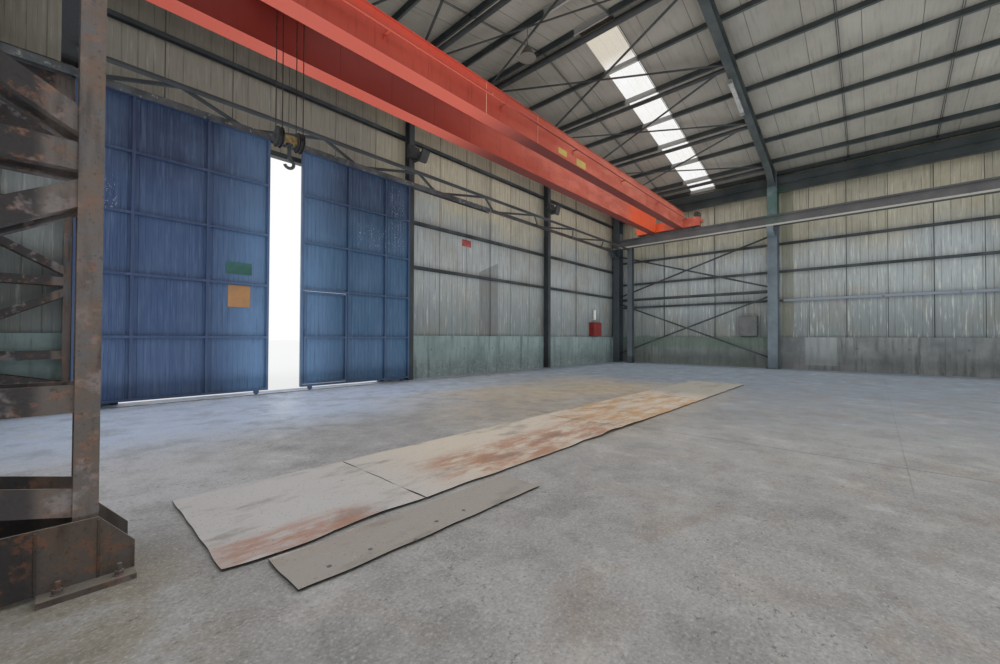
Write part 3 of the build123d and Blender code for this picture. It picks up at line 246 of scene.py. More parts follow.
def wall_concrete(name, light, dark, flaking):
    """Cast wall with water streaks and tie holes; flaking is what shows low down where the paint is gone."""
    p = Paint(name)
    cloud = p.noise(0.8, 4, 0.65)
    streaks = p.noise(0.12, 4, 0.6, (1, 1, 9))
    p.colour = p.shades(cloud, (0.32, *dark), (0.68, *light))
    stained = p.both(p.span(streaks, 0.45, 0.72), p.span(cloud, 0.4, 0.6, 0.3, 0.8))
    p.colour = p.over(stained, p.colour, (*(c / 2 for c in srgb(*dark)[:3]), 1.0))
    low = p.span(p.z, floor_z, floor_z + 0.7, 1.0, 0.0)
    patches = p.both(low, p.span(p.noise(0.06, 4, 0.72), 0.52, 0.6))
    p.coat(patches, *flaking, 0.45)
    along = p.math("ADD", p.x, p.y)
    ties = p.math("POWER", p.every(along, 1.2, 0.6), 2.0)
    ties = p.math("ADD", ties, p.math("POWER", p.math("SUBTRACT", p.z, floor_z + 0.75), 2.0))
    ties = p.span(ties, 0.0006, 0.0012, 0.45, 0.0)
    p.coat(ties, 58, 58, 56)
    panels = p.span(p.math("MINIMUM", p.every(p.x, 2.4), p.every(p.y, 2.4)), 0.004, 0.012, 0.45, 0.0)
    p.coat(panels, 60, 62, 60)
    green = p.both(p.span(p.x, 9.0, 9.3), p.span(p.y, 8.9, 9.2), p.span(p.z, 0.75, 1.0, 0.25, 0.6))
    p.coat(green, 78, 100, 84)
    panel = p.both(p.near(p.x, 9.4, 0.1, 0.02), p.near(p.y, 7.68, 0.42, 0.01), p.span(p.z, 0.3, 0.32))
    p.coat(panel, 150, 158, 160, 0.45)
    return p.finish(0.85, p.noise(0.03, 3), 0.003)


def wall_cladding():
    """Pale ribbed panels: cream above, blue-grey below, each a little different, with one dark patch; the
    darker blue-grey low down is partly painted daylight and shade, and the ribs carry painted highlights and
    painted groove shade.
    """
    p = Paint("wall_cladding")
    on_side = p.span(p.math("ABSOLUTE", p.x), 9.5, 9.55)
    along = p.math("ADD", p.x, p.both(on_side, p.math("SUBTRACT", p.y, p.x)))
    sheet = p.per_sheet(along, 1.0)
    high = p.math("ADD", p.z, p.span(p.noise(1.5, 2), 0.3, 0.7, -0.4, 0.4))
    p.base(p.span(high, floor_z + 3.9, floor_z + 5.2), (156, 164, 166), (174, 168, 147))
    p.coat(p.span(sheet, 0.0, 1.0, 0.0, 0.25), 130, 136, 132)
    # Darker blue-grey low down: partly discolouration of the sheets, partly painted bluish daylight and
    # shade.
    low = p.span(p.z, floor_z + 1.1, floor_z + 3.3, 0.85, 0.0)
    p.coat(low, 104, 114, 116)
    # Upright streaks: darker ones, and pale ones that are painted highlights along the ribs.
    streaks = p.noise(0.045, 3, 0.65, (1, 1, 16))
    p.coat(p.span(streaks, 0.48, 0.74, 0.0, 0.4), 104, 106, 98)
    p.coat(p.span(streaks, 0.44, 0.3, 0.0, 0.5), 208, 208, 196)
    cloud = p.noise(1.1, 4, 0.62)
    p.coat(p.span(cloud, 0.45, 0.7, 0.0, 0.35), 130, 126, 110)
    # Painted shade: thin dark lines where the fine grooves of the panels would lie in shadow.
    groove_shade_lines = p.span(p.every(along, 0.2, 0.05), 0.004, 0.012, 0.55, 0.0)
    p.coat(p.both(groove_shade_lines, p.span(streaks, 0.4, 0.56)), 84, 84, 76)
    joints = p.span(p.every(along, 1.0), 0.005, 0.012, 0.8, 0.0)
    p.coat(joints, 54, 56, 52)
    gable = p.near(p.y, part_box("gable_cladding")[1].y - 0.04, 0.01, 0.002)
    over_door = p.both(gable, p.span(p.x, -2.0, -3.5), p.span(p.z, 4.9, 5.5, 0.0, 0.55))
    p.coat(over_door, 88, 86, 86)
    top = p.math("SUBTRACT", p.z, p.math("MULTIPLY", p.math("SUBTRACT", p.x, 0.54), 0.45))
    patch = p.both(gable, p.near(p.x, 0.97, 0.42, 0.01), p.span(top, 3.22, 3.24, 1.0, 0.0))
    p.coat(patch, 90, 92, 94, 0.5)
    inside = p.near(p.x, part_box("side_cladding")[1].x - 0.04, 0.01, 0.002)
    beside = p.both(inside, p.near(p.y, 8.62, 0.16, 0.02))
    p.coat(beside, 112, 112, 92, 0.6)
    return p.finish(p.span(cloud, 0.3, 0.7, 0.4, 0.62), p.noise(0.4, 1), 0.002)


def roof_sheet():
    """Grey ribbed roof panel, dusty and slightly warm below, darker along its joints."""
    p = Paint("roof_sheet")
    cloud = p.noise(1.6, 4, 0.62)
    sheet = p.per_sheet(p.math("ADD", p.y, roof_joint), 1.0, 40.0)
    p.colour = p.shades(cloud, (0.3, 132, 130, 121), (0.7, 154, 152, 143))
    p.coat(p.span(sheet, 0.0, 1.0, 0.0, 0.25), 118, 119, 113)
    marks = p.noise(0.07, 3, 0.6, (12, 1, 12))
    p.coat(p.span(marks, 0.5, 0.75, 0.0, 0.35), 96, 94, 88)
    joints = p.span(p.every(p.y, 1.0, roof_joint), 0.004, 0.01, 0.55, 0.0)
    p.coat(joints, 60, 60, 56)
    return p.finish(0.6, p.noise(0.5, 1), 0.002)


def rooflight_sheet():
    """Translucent ribbed sheet that lets the daylight through, tan with dirt towards the ridge."""
    p = Paint("rooflight_sheet")
    p.colour = p.shades(p.noise(0.5, 3), (0.35, 251, 250, 247), (0.65, 255, 255, 255))
    dirty = p.span(p.apart(p.x, ridge_x), 1.0, 1.7, 0.7, 0.0)
    p.coat(dirty, 196, 184, 160)
    p.shader.inputs["Transmission Weight"].default_value = 0.95
    p.shader.inputs["IOR"].default_value = 1.02
    return p.finish(0.2)


def painted_steel(name, paint, worn, rust_share=0.35, dust=0.5, flange_highlight_z=-1.0, rooflight_glow=0.0):
    """Brushed paint on steel with thin rust, fine scratches, dust on what faces up and a green repair, with
    painted shade in the far east corner, and where asked a painted glow under the rooflights or a painted
    highlight and shade on a flange.
    """
    size, rust, gloss = 0.25, (104, 66, 42), 0.45
    p = Paint(name)
    cloud = p.noise(size * 3, 3, 0.62)
    fine = p.noise(size / 6, 3, 0.72)
    p.base(p.span(cloud, 0.32, 0.7), paint, worn)
    # Painted shade: darker paint in the far east corner of the hall.
    corner_shade = p.both(p.span(p.x, 7.8, 8.2), p.span(p.y, 13.2, 13.9))
    p.coat(corner_shade, 44, 50, 54, 0.6)
    repair = p.both(p.near(p.y, 9.0, 0.25, 0.3), p.near(p.z, 5.95, 0.45, 0.4), p.span(p.x, 7.9, 8.4))
    repair = p.both(repair, p.span(cloud, 0.35, 0.5))
    p.coat(repair, 58, 96, 80, 0.65)
    edge = 0.72 - 0.25 * rust_share
    rusty = p.both(p.span(p.noise(size, 4, 0.72), edge, edge + 0.06), p.span(fine, 0.35, 0.6, 0.35, 1.0))
    p.colour = p.over(rusty, p.colour, p.shades(fine, (0.35, *[c * 0.62 for c in rust]), (0.65, *rust)))
    settled = p.both(p.span(p.up, 0.35, 0.9), p.span(cloud, 0.25, 0.6, 0.6, 1.0))
    p.coat(p.math("MULTIPLY", settled, dust), 138, 134, 126)
    # Painted light: lighter paint under the rooflight strips, where daylight falls on the purlins.
    if rooflight_glow > 0:
        p.coat(p.both(p.near(p.y, 11.4, 0.45, 0.05), rooflight_glow), 172, 172, 168)
    # Painted highlight along the top of the lower flange, and painted shade on its bottom face.
    if flange_highlight_z > 0:
        p.coat(p.near(p.z, flange_highlight_z, 0.03, 0.02), 176, 174, 168)
        p.coat(p.span(p.z, flange_highlight_z - 0.04, flange_highlight_z - 0.05), 50, 52, 54)
    p.coat(p.span(fine, 0.55, 0.75, 0.0, 0.3), 60, 58, 55)
    rough = p.math("ADD", p.span(fine, 0.3, 0.7, gloss - 0.1, gloss + 0.12), p.math("MULTIPLY", rusty, 0.3))
    return p.finish(rough, fine, 0.0012)


def rusted_primer():
    """Red-brown primer with rust blooms, grey bare patches and painted shade on the braces between the legs.
    """
    p = Paint("rust_brown_steel")
    cloud = p.noise(0.24, 5, 0.74)
    fine = p.noise(0.022, 4, 0.78)
    runs = p.noise(0.05, 3, 0.6, (1, 1, 7))
    p.colour = p.shades(cloud, (0.3, 92, 96, 102), (0.5, 98, 90, 86), (0.7, 110, 86, 70))
    p.coat(p.span(p.z, 1.6, 0.8, 0.0, 0.5), 76, 68, 62)
    # Painted shade: darker paint on the braces between the legs.
    p.coat(p.near(p.x, brace_x, 0.42, 0.06), 54, 51, 52)
    p.coat(p.span(runs, 0.48, 0.72, 0.0, 0.55), 52, 47, 45)
    bloom = p.both(p.span(p.noise(0.1, 4, 0.76), 0.52, 0.62), p.span(fine, 0.4, 0.58))
    p.coat(bloom, 134, 88, 62, 0.6)
    bare = p.both(p.span(p.noise(0.2, 4, 0.72), 0.56, 0.66), p.span(fine, 0.3, 0.5))
    p.coat(bare, 116, 118, 122, 0.5)
    p.coat(p.span(fine, 0.56, 0.7, 0.0, 0.55), 44, 38, 36)
    settled = p.both(p.span(p.up, 0.4, 0.9), p.span(cloud, 0.3, 0.6, 0.5, 1.0))
    p.coat(settled, 138, 132, 122, 0.7)
    return p.finish(p.span(fine, 0.3, 0.7, 0.45, 0.75), fine, 0.0015)


def rusty_plate():
    """Steel plates on the floor, trodden grey, orange and tan where they are still rusty, with painted shade
    on their edges.
    """
    p = Paint("rusty_steel")
    broad = p.noise(0.9, 4, 0.65, (2.4, 1, 1))
    fine = p.noise(0.02, 5, 0.72)
    p.base(p.span(p.x, -7.0, -5.6), (174, 172, 171), (190, 180, 166))
    p.coat(p.span(p.x, -0.8, 0.4), 154, 151, 142)
    p.coat(p.span(p.y, 8.5, 8.46), 150, 145, 139)
    south = p.both(p.near(p.y, 8.85, 0.2, 0.3), p.near(p.x, -4.2, 1.7, 0.5))
    orange = p.both(p.near(p.x, -2.2, 1.3, 0.8), p.span(broad, 0.36, 0.56))
    corner = p.both(p.near(p.x, -7.3, 0.25, 0.3), p.near(p.y, 8.6, 0.12, 0.15))
    rusty = p.math("MAXIMUM", south, p.math("MAXIMUM", orange, corner))
    rusty = p.math("MAXIMUM", rusty, p.span(broad, 0.56, 0.74, 0.0, 0.8))
    flecks = p.span(p.noise(0.16, 4, 0.7, (3, 1, 1)), 0.36, 0.6)
    rusty = p.both(rusty, flecks, p.span(p.y, 8.46, 8.52, 0.25, 1.0))
    rust = p.over(p.span(p.x, -4.2, -3.0), srgb(156, 104, 74), srgb(178, 136, 88))
    p.colour = p.over(p.math("MULTIPLY", rusty, 0.8), p.colour, rust)
    dirt = p.span(p.noise(0.24, 5, 0.7, (2.5, 1, 1)), 0.5, 0.68, 0.0, 0.6)
    p.coat(dirt, 116, 110, 104)
    specks = p.span(p.cells(0.03), 0.1, 0.2, 0.5, 0.0)
    p.coat(specks, 96, 88, 80)
    p.coat(p.span(fine, 0.55, 0.75, 0.0, 0.4), 196, 188, 178)
    # Painted shade: the edges of the plates, over the dark gap beneath them, are nearly black.
    side = p.span(p.up, 0.3, 0.8, 1.0, 0.0)
    p.coat(side, 40, 34, 30)
    return p.finish(p.span(fine, 0.3, 0.7, 0.5, 0.8), fine, 0.002)


def door_paint():
    """Dark blue paint, greener to the east, faded in upright streaks, with pale specks by the wicket door
    that are partly flaked paint and partly painted daylight through small holes.
    """
    p = Paint("door_blue")
    cloud = p.noise(0.8, 3, 0.62)
    p.base(p.span(p.x, -6.9, -4.6), (57, 79, 117), (57, 90, 121))
    p.coat(p.span(p.z, 3.0, 4.6, 0.0, 0.65), 42, 52, 74)
    beside_gap = p.both(p.near(p.x, -5.25, 0.35, 0.9), p.span(p.z, 0.2, 4.6, 1.0, 0.6))
    p.coat(beside_gap, 104, 140, 180, 0.75)
    p.coat(p.span(cloud, 0.4, 0.66, 0.0, 0.35), 76, 100, 132)
    streaks = p.noise(0.028, 3, 0.62, (1, 1, 18))
    p.coat(p.span(streaks, 0.5, 0.7, 0.0, 0.3), 100, 122, 150)
    p.coat(p.span(streaks, 0.46, 0.3, 0.0, 0.3), 38, 50, 78)
    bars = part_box("left_leaf")[1].y - 0.03
    p.coat(p.span(p.y, bars, bars - 0.004, 0.0, 0.45), 46, 58, 88)
    grime = p.both(p.span(p.z, 0.2, 0.8, 1.0, 0.0), p.span(cloud, 0.35, 0.6))
    p.coat(grime, 62, 70, 86, 0.3)
    # Pale specks: partly flaked paint, partly painted daylight showing through small holes in the leaf.
    flakes_and_daylight_specks = p.both(p.near(p.x, -2.7, 0.15, 0.1), p.near(p.z, 4.03, 0.7, 0.15))
    flakes_and_daylight_specks = p.math("MAXIMUM", flakes_and_daylight_specks, p.both(p.near(p.x, -3.3, 0.36, 0.1), p.near(p.z, 3.5, 0.22, 0.1)))
    flakes_and_daylight_specks = p.math("MAXIMUM", flakes_and_daylight_specks, p.both(p.near(p.x, -7.68, 0.06, 0.04), p.near(p.z, 3.38, 0.2, 0.1)))
    flakes_and_daylight_specks = p.both(flakes_and_daylight_specks, p.span(p.noise(0.018, 3, 0.6, (1, 1, 1.6)), 0.63, 0.66))
    p.coat(flakes_and_daylight_specks, 190, 200, 212, 0.7)
    return p.finish(p.span(cloud, 0.3, 0.7, 0.4, 0.6), streaks, 0.0006)


def crane_paint():
    """Red-orange enamel: brick red to the west, chalked to the east, orange at the far girder's end, with
    painted light and shade on the undersides and tops.
    """
    p = Paint("crane_red")
    cloud = p.noise(1.3, 4, 0.62, (2, 1, 1))
    p.colour = p.shades(cloud, (0.3, 148, 48, 34), (0.7, 178, 66, 44))
    streaks = p.noise(0.05, 4, 0.62, (1, 1, 8))
    p.coat(p.span(streaks, 0.5, 0.76, 0.0, 0.5), 118, 40, 30)
    chalk = p.both(p.span(p.noise(0.35, 4, 0.68, (3, 1, 1)), 0.4, 0.64, 0.45, 1.0), p.span(p.x, -3.5, 3.0))
    p.coat(chalk, 206, 122, 100, 0.75)
    dull = p.both(p.span(p.x, -6.2, -7.4), p.span(p.y, 12.2, 12.3, 1.0, 0.0))
    p.coat(dull, 84, 66, 62, 0.55)
    bright = p.both(p.span(p.x, 5.6, 6.6), p.span(p.y, 12.6, 12.7))
    p.coat(bright, 226, 92, 42, 0.8)
    seams = p.math("MAXIMUM", p.near(p.x, -2.605, 0.004, 0.004), p.near(p.x, -0.96, 0.002, 0.003))
    p.coat(p.both(seams, p.span(p.y, 12.2, 12.3, 0.75, 0.0)), 220, 190, 170)
    near_side = p.span(p.y, 12.2, 12.3, 1.0, 0.0)
    fresh = p.both(near_side, p.span(p.z, 5.8, 6.2, 0.0, 0.7), p.span(p.x, -1.0, -4.0))
    p.coat(fresh, 212, 68, 44)
    shaded = p.both(p.span(p.y, 12.5, 12.6), p.span(p.x, -1.0, -4.0, 0.0, 0.75))
    p.coat(shaded, 108, 32, 27)
    # Painted light and shade on faces that look down: lighter to the west, dark as in shade to the east.
    underside_light_and_shade = p.over(p.span(p.x, -3.2, -0.8), srgb(206, 96, 78), srgb(92, 38, 34))
    p.colour = p.over(p.span(p.up, -0.9, -0.5, 0.95, 0.0), p.colour, underside_light_and_shade)
    # Faces that look up: partly dust, partly a painted highlight.
    p.coat(p.span(p.up, 0.4, 0.9, 0.0, 0.35), 150, 112, 92)
    chips = p.span(p.noise(0.05, 5, 0.75), 0.66, 0.69, 0.0, 0.7)
    p.coat(chips, 84, 56, 46)
    return p.finish(p.span(cloud, 0.3, 0.7, 0.36, 0.52), streaks, 0.0006)


def track_steel():
    """Dark guide channel over the door, and the floor track polished bright by the wheels."""
    p = Paint("track_steel")
    cloud = p.noise(0.3, 4, 0.65)
    channel = p.shades(cloud, (0.35, 54, 58, 62), (0.65, 84, 88, 92))
    polished = p.shades(cloud, (0.35, 120, 122, 124), (0.65, 196, 198, 200))
    low = p.span(p.z, 0.9, 1.0, 1.0, 0.0)
    p.colour = p.over(low, channel, polished)
    p.coat(p.span(p.noise(0.08, 4, 0.7), 0.58, 0.68, 0.0, 0.6), 150, 150, 146)
    return p.finish(p.span(cloud, 0.3, 0.7, 0.3, 0.5), cloud, 0.0005, p.math("MULTIPLY", low, 0.6))


def girt_steel():
    """Dark girts, with the lowest one in the nearer bay of the east wall painted a lighter blue-grey."""
    p = Paint("girt_steel")
    cloud = p.noise(0.6, 4, 0.62)
    fine = p.noise(0.04, 4, 0.7)
    p.base(p.span(cloud, 0.35, 0.68), (48, 54, 58), (72, 78, 82))
    lighter = p.both(p.span(p.x, 9.0, 9.2), p.span(p.y, 8.7, 8.75, 1.0, 0.0), p.span(p.z, 3.0, 3.1, 1.0, 0.0))
    p.coat(lighter, 126, 136, 148, 0.9)
    rusty = p.span(p.noise(0.2, 4, 0.7), 0.62, 0.7, 0.0, 0.7)
    p.coat(rusty, 98, 68, 50)
    p.coat(p.span(p.up, 0.4, 0.9, 0.0, 0.5), 140, 136, 128)
    return p.finish(p.span(fine, 0.3, 0.7, 0.38, 0.6), fine, 0.0008)


def hook_block_steel():
    """Black sheaves with a worn yellow crosshead between them."""
    p = Paint("hook_block_steel")
    cloud = p.noise(0.05, 5, 0.68)
    between = p.near(p.x, hook_x, 0.09, 0.004)
    black = p.shades(cloud, (0.35, 30, 31, 34), (0.65, 62, 62, 62))
    yellow = p.shades(cloud, (0.35, 92, 78, 52), (0.65, 150, 128, 78))
    p.colour = p.over(between, black, yellow)
    return p.finish(p.span(cloud, 0.3, 0.7, 0.35, 0.6), cloud, 0.0008, 0.2)


def lamp_paint():
    """Grey batten lamp, browner bay lamps under the ridge and nearly black floodlights at the posts."""
    p = Paint("lamp_paint")
    cloud = p.noise(0.1, 4, 0.65)
    p.base(p.near(p.x, -0.74, 0.3, 0.05), (156, 158, 156), (110, 108, 100))
    p.coat(p.span(p.z, 6.9, 7.0, 1.0, 0.0), 44, 46, 48)
    p.coat(p.span(cloud, 0.45, 0.7, 0.0, 0.5), 84, 82, 78)
    return p.finish(p.span(cloud, 0.3, 0.7, 0.4, 0.6), cloud, 0.0005)


def worn_metal(name, light, dark, grease=0.4, rough=0.42, metal=0.75):
    """Turned or drawn steel with grease and dull patches."""
    p = Paint(name)
    cloud = p.noise(0.06, 6, 0.65)
    p.colour = p.shades(cloud, (0.35, *dark), (0.65, *light))
    black = p.span(p.noise(0.1, 5, 0.6), 0.5, 0.65, 0.0, grease)
    p.coat(black, 34, 31, 28)
    return p.finish(p.span(cloud, 0.3, 0.7, rough - 0.1, rough + 0.2), cloud, 0.0006, metal)


def plain_paint(name, base, faded, rough=0.5):
    """Painted or moulded surface with faint clouding, scratches and dust."""
    p = Paint(name)
    cloud = p.noise(0.25, 6, 0.65)
    fine = p.noise(0.01, 5, 0.7)
    p.base(p.span(cloud, 0.35, 0.7), base, faded)
    p.coat(p.span(p.up, 0.5, 0.9, 0.0, 0.4), 150, 147, 140)
    p.coat(p.span(fine, 0.6, 0.8, 0.0, 0.3), 84, 82, 78)
    return p.finish(p.span(fine, 0.3, 0.7, rough - 0.08, rough + 0.12), fine, 0.0004)


paints = {
    "floor_concrete": floor_concrete(),
    "side_concrete": wall_concrete("side_concrete", (128, 132, 132), (92, 98, 100), (128, 124, 116)),
    "gable_concrete": wall_concrete("gable_concrete", (130, 146, 146), (100, 117, 117), (176, 180, 176)),
    "wall_cladding": wall_cladding(),
    "roof_sheet": roof_sheet(),
    "rooflight_sheet": rooflight_sheet(),
    "rafter_steel": painted_steel("rafter_steel", (54, 62, 64), (74, 80, 80), 0.2, 0.35),
    "dark_steel": painted_steel("dark_steel", (48, 52, 54), (68, 72, 74), 0.3, 0.45),
    "blue_grey_steel": painted_steel("blue_grey_steel", (102, 114, 122), (84, 94, 102), 0.3, 0.4),
    "rust_brown_steel": rusted_primer(),
    "runway_steel": painted_steel("runway_steel", (70, 76, 80), (92, 96, 98), 0.3, 0.5),
    "rusty_steel": rusty_plate(),
    "door_blue": door_paint(),
    "roller_steel": worn_metal("roller_steel", (128, 126, 122), (84, 80, 76)),
    "crane_red": crane_paint(),
    "rope_steel": worn_metal("rope_steel", (96, 92, 86), (58, 54, 50), 0.6, 0.5),
    "cabinet_paint": plain_paint("cabinet_paint", (132, 136, 136), (112, 116, 116)),
    "lamp_housing": plain_paint("lamp_housing", (150, 152, 150), (120, 122, 122)),
    "trim_paint": plain_paint("trim_paint", (104, 118, 130), (122, 132, 138)),
}
own_paints = {
    "door_tracks": track_steel(),
    "girts": girt_steel(),
    "hook_block": hook_block_steel(),
    "lamps": lamp_paint(),
}
own_paints["wind_trusses"] = painted_steel("truss_steel", (52, 57, 60), (66, 71, 74), 0.2, 0.35)
own_paints["gable_posts"] = own_paints["wind_trusses"]
# The purlins get painted light under the rooflight strips.
own_paints["purlins"] = painted_steel("purlin_steel", (54, 62, 64), (74, 80, 80), 0.2, 0.35, rooflight_glow=0.75)
# The runways get a painted highlight on the lower flange and painted shade below it.
runway_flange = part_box("crane_runways")[0].z + 0.05
own_paints["crane_runways"] = painted_steel(
    "runway_highlight_shade", (84, 84, 86), (98, 97, 98), 0.3, 0.5, flange_highlight_z=runway_flange
)
for row in frame["record"]["subparts"]:
    carrier = frame["nodes"][row["node"]]
    if not carrier.material_slots:
        carrier.data.materials.append(None)
    paint = own_paints.get(row["node"], paints[row["material_slot"]])
    for place in carrier.material_slots:
        place.material = paint


block_faces = [(0, 2, 3, 1), (4, 5, 7, 6), (0, 1, 5, 4), (2, 6, 7, 3), (0, 4, 6, 2), (1, 3, 7, 5)]
sides = (-1, 1)


class Mesh:
    """Collects the faces of one piece."""

    def __init__(self):
        self.points = []
        self.faces = []

    def add(self, points, faces=block_faces):
        """Adds points and the faces that use them; eight points make a block."""
        start = len(self.points)
        self.points.extend(tuple(point) for point in points)
        self.faces.extend(tuple(start + i for i in face) for face in faces)

    def box(self, one, other):
        """Rectangular block between two opposite corners."""
        spans = [sorted(pair) for pair in zip(one, other)]
        self.add([(x, y, z) for z in spans[2] for y in spans[1] for x in spans[0]])

    def round(self, start, end, radius, count=12, end_radius=None, turn=0.0):
        """Bar, cone or prism of several sides from start to end."""
        start, end = Vector(start), Vector(end)
        across = (end - start).to_track_quat("Z", "Y")
        rings = []
        for centre, size in ((start, radius), (end, radius if end_radius is None else end_radius)):
            for i in range(count):
                angle = 2 * math.pi * i / count + turn
                rings.append(centre + across @ Vector((size * math.cos(angle), size * math.sin(angle), 0)))
        self.add(rings, tube_faces(count))

    def upright(self, x, y, low, high, radius, count=12, end_radius=None):
        """Round bar that stands at x and y."""
        self.round((x, y, low), (x, y, high), radius, count, end_radius)

    def bolt(self, foot, axis, size, reach):
        """Stud with a hexagon nut and a washer, standing on foot."""
        foot, axis = Vector(foot), Vector(axis).normalized()
        self.round(foot, foot + axis * size * 0.18, size * 1.1, 16)
        self.round(foot + axis * size * 0.18, foot + axis * size * 1.05, size * 0.9, 6, turn=random.random())
        self.round(foot + axis * size * 1.05, foot + axis * (size * 1.05 + reach), size * 0.5, 12)

    def bolts(self, x, ys, zs, axis, size, reach):
        """Rows of bolts at one x."""
        for z in zs:
            for y in ys:
                self.bolt((x, y, z), axis, size, reach)

    def prism(self, outline, axis, start, end):
        """Closed outline of points in the two other axes, drawn out along one axis from start to end."""
        points = []
        for place in (start, end):
            points += [(*pair[:axis], place, *pair[axis:]) for pair in outline]
        self.add(points, tube_faces(len(outline)))

    def piece(self, name, paint, body="building", slot=None, replaces=(), smooth=False):
        """Makes the object, gives it its paint and lets it ride on its body; paint may be a slot's name."""
        if isinstance(paint, str):
            paint, slot = paints[paint], slot or paint
        mesh = bpy.data.meshes.new(name)
        mesh.from_pydata(self.points, [], self.faces)
        mesh.validate()
        shape = bmesh.new()
        shape.from_mesh(mesh)
        bmesh.ops.recalc_face_normals(shape, faces=shape.faces)
        shape.to_mesh(mesh)
        shape.free()
        mesh.materials.append(paint)
        made = add_object(name, mesh)
        if smooth:
            mesh.shade_smooth()
        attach(made, body)
        if replaces:
            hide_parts(*replaces)


def tube_faces(count):
    """Faces between two rings of points, and the two ends."""
    faces = [(i, (i + 1) % count, count + (i + 1) % count, count + i) for i in range(count)]
    return [*faces, tuple(range(count)), tuple(range(count, 2 * count))]


def rounded(west, foot, east, head, radius, steps=4):
    """Outline of a rectangle with rounded corners."""
    outline = []
    high, low = (east - radius, head - radius), (west + radius, foot + radius)
    for quarter, (across, up) in enumerate((high, (low[0], high[1]), low, (high[0], low[1]))):
        for i in range(steps + 1):
            angle = math.pi / 2 * (quarter + i / steps)
            outline.append((across + radius * math.cos(angle), up + radius * math.sin(angle)))
    return outline


def ring(across, up, radius, count=24):
    """Outline of a circle."""
    turns = [2 * math.pi * i / count for i in range(count)]
    return [(across + radius * math.cos(angle), up + radius * math.sin(angle)) for angle in turns]


def solids(node):
    """Corner points of each separate solid of a CAD node, from south-west to north-east."""
    shape = bmesh.new()
    shape.from_mesh(frame["nodes"][node].data)
    bmesh.ops.remove_doubles(shape, verts=shape.verts, dist=1e-5)
    done = set()
    groups = []
    for seed in shape.verts:
        if seed in done:
            continue
        done.add(seed)
        group = [seed]
        for member in group:
            for edge in member.link_edges:
                other = edge.other_vert(member)
                if other not in done:
                    done.add(other)
                    group.append(other)
        groups.append(np.array([vert.co[:] for vert in group]))
    shape.free()
    return sorted(groups, key=lambda points: tuple(points.mean(0).round(4)))


def boxes(node):
    """Lowest and highest corner of each solid of a CAD node."""
    return [(points.min(0), points.max(0)) for points in solids(node)]


# Profiles of the wall and roof panels: pitch, then places along it and the depth there
panel_joint = 1.0
groove = 0.1, [(0.044, 0.0), (0.0465, 0.002), (0.0535, 0.002), (0.056, 0.0)]
rib = 0.2, [(0.1, 0.35), (0.114, 1.0), (0.136, 1.0), (0.15, 0.35)]
gap = [(-0.005, 0.0), (-0.003, 0.009), (0.003, 0.009), (0.005, 0.0)]


def depth_at(places, pitch, profile):
    """Depth of a profile that repeats along the sheet."""
    marks, depths = zip(*profile)
    return np.interp(places, marks, depths, period=pitch)


def add_ribbed_sheet(mesh, corners, along, rise, out, first_joint=0.0):
    """Panel in the flat solid with those corners: fine grooves and joints inside, trapezoid ribs outside."""
    basis = np.array([along, rise, out], float)
    local = corners @ basis.T
    start, end = local[:, 0].min(), local[:, 0].max()
    base, top = local[:, 2].min(), local[:, 2].max()
    edges = [(p, q) for p in local for q in local if p[0] < q[0] - 1e-6]
    joint = panel_joint, [(first_joint + place, depth) for place, depth in gap]
    stations = {start, end}
    for pitch, profile in (groove, rib, joint):
        for i in range(math.floor(start / pitch) - 1, math.ceil(end / pitch) + 1):
            stations.update(i * pitch + place for place, depth in profile if start < i * pitch + place < end)
    stations = np.array(sorted(stations))
    inner = base + np.maximum(depth_at(stations, *groove), depth_at(stations, *joint))
    outer = base + (top - base) * depth_at(stations, *rib)
    points = []
    for a, near, far in zip(stations, inner, outer):
        hits = [p[1] + (q[1] - p[1]) * (a - p[0]) / (q[0] - p[0]) for p, q in edges if p[0] <= a <= q[0]]
        for b, c in ((min(hits), near), (max(hits), near), (min(hits), far), (max(hits), far)):
            points.append(np.clip(np.array([a, b, c]) @ basis, corners.min(0), corners.max(0)))
    last = 4 * len(stations) - 4
    faces = [(0, 1, 3, 2), (last, last + 2, last + 3, last + 1)]
    for p in range(0, last, 4):
        for a, b in ((0, 1), (2, 3), (0, 2), (1, 3)):
            faces.append((p + a, p + b, p + 4 + b, p + 4 + a))
    mesh.add(points, faces)


def sheet_piece(name, nodes, slot, frame_of):
    """Replaces the flat solids of CAD nodes by ribbed sheets; frame_of gives each solid's directions."""
    mesh = Mesh()
    for node in nodes:
        for corners in solids(node):
            add_ribbed_sheet(mesh, corners, *frame_of(corners.mean(0)))
    mesh.piece(name, slot, replaces=nodes)


def side_frame(middle):
    """Directions of a sheet on a long wall."""
    return (0, 1, 0), (0, 0, 1), (math.copysign(1, middle[0]), 0, 0)


def gable_frame(middle):
    """Directions of a sheet on a gable."""
    return (1, 0, 0), (0, 0, 1), (0, math.copysign(1, middle[1]), 0)


def roof_frame(middle):
    """Directions of a sheet on one slope of the roof, and its first joint."""
    side = math.copysign(1, middle[0] - ridge_x)
    sine, cosine = math.sin(roof_angle), math.cos(roof_angle)
    return (0, 1, 0), (-side * cosine, 0, sine), (side * sine, 0, cosine), roof_joint


sheet_piece("side_wall_sheets", ["side_cladding"], "wall_cladding", side_frame)
sheet_piece("gable_wall_sheets", ["gable_cladding", "cladding_over_door"], "wall_cladding", gable_frame)
sheet_piece("roof_ribbed_sheets", ["east_roof_sheets", "west_roof_sheets"], "roof_sheet", roof_frame)
sheet_piece("rooflight_strips", ["rooflights"], "rooflight_sheet", roof_frame)


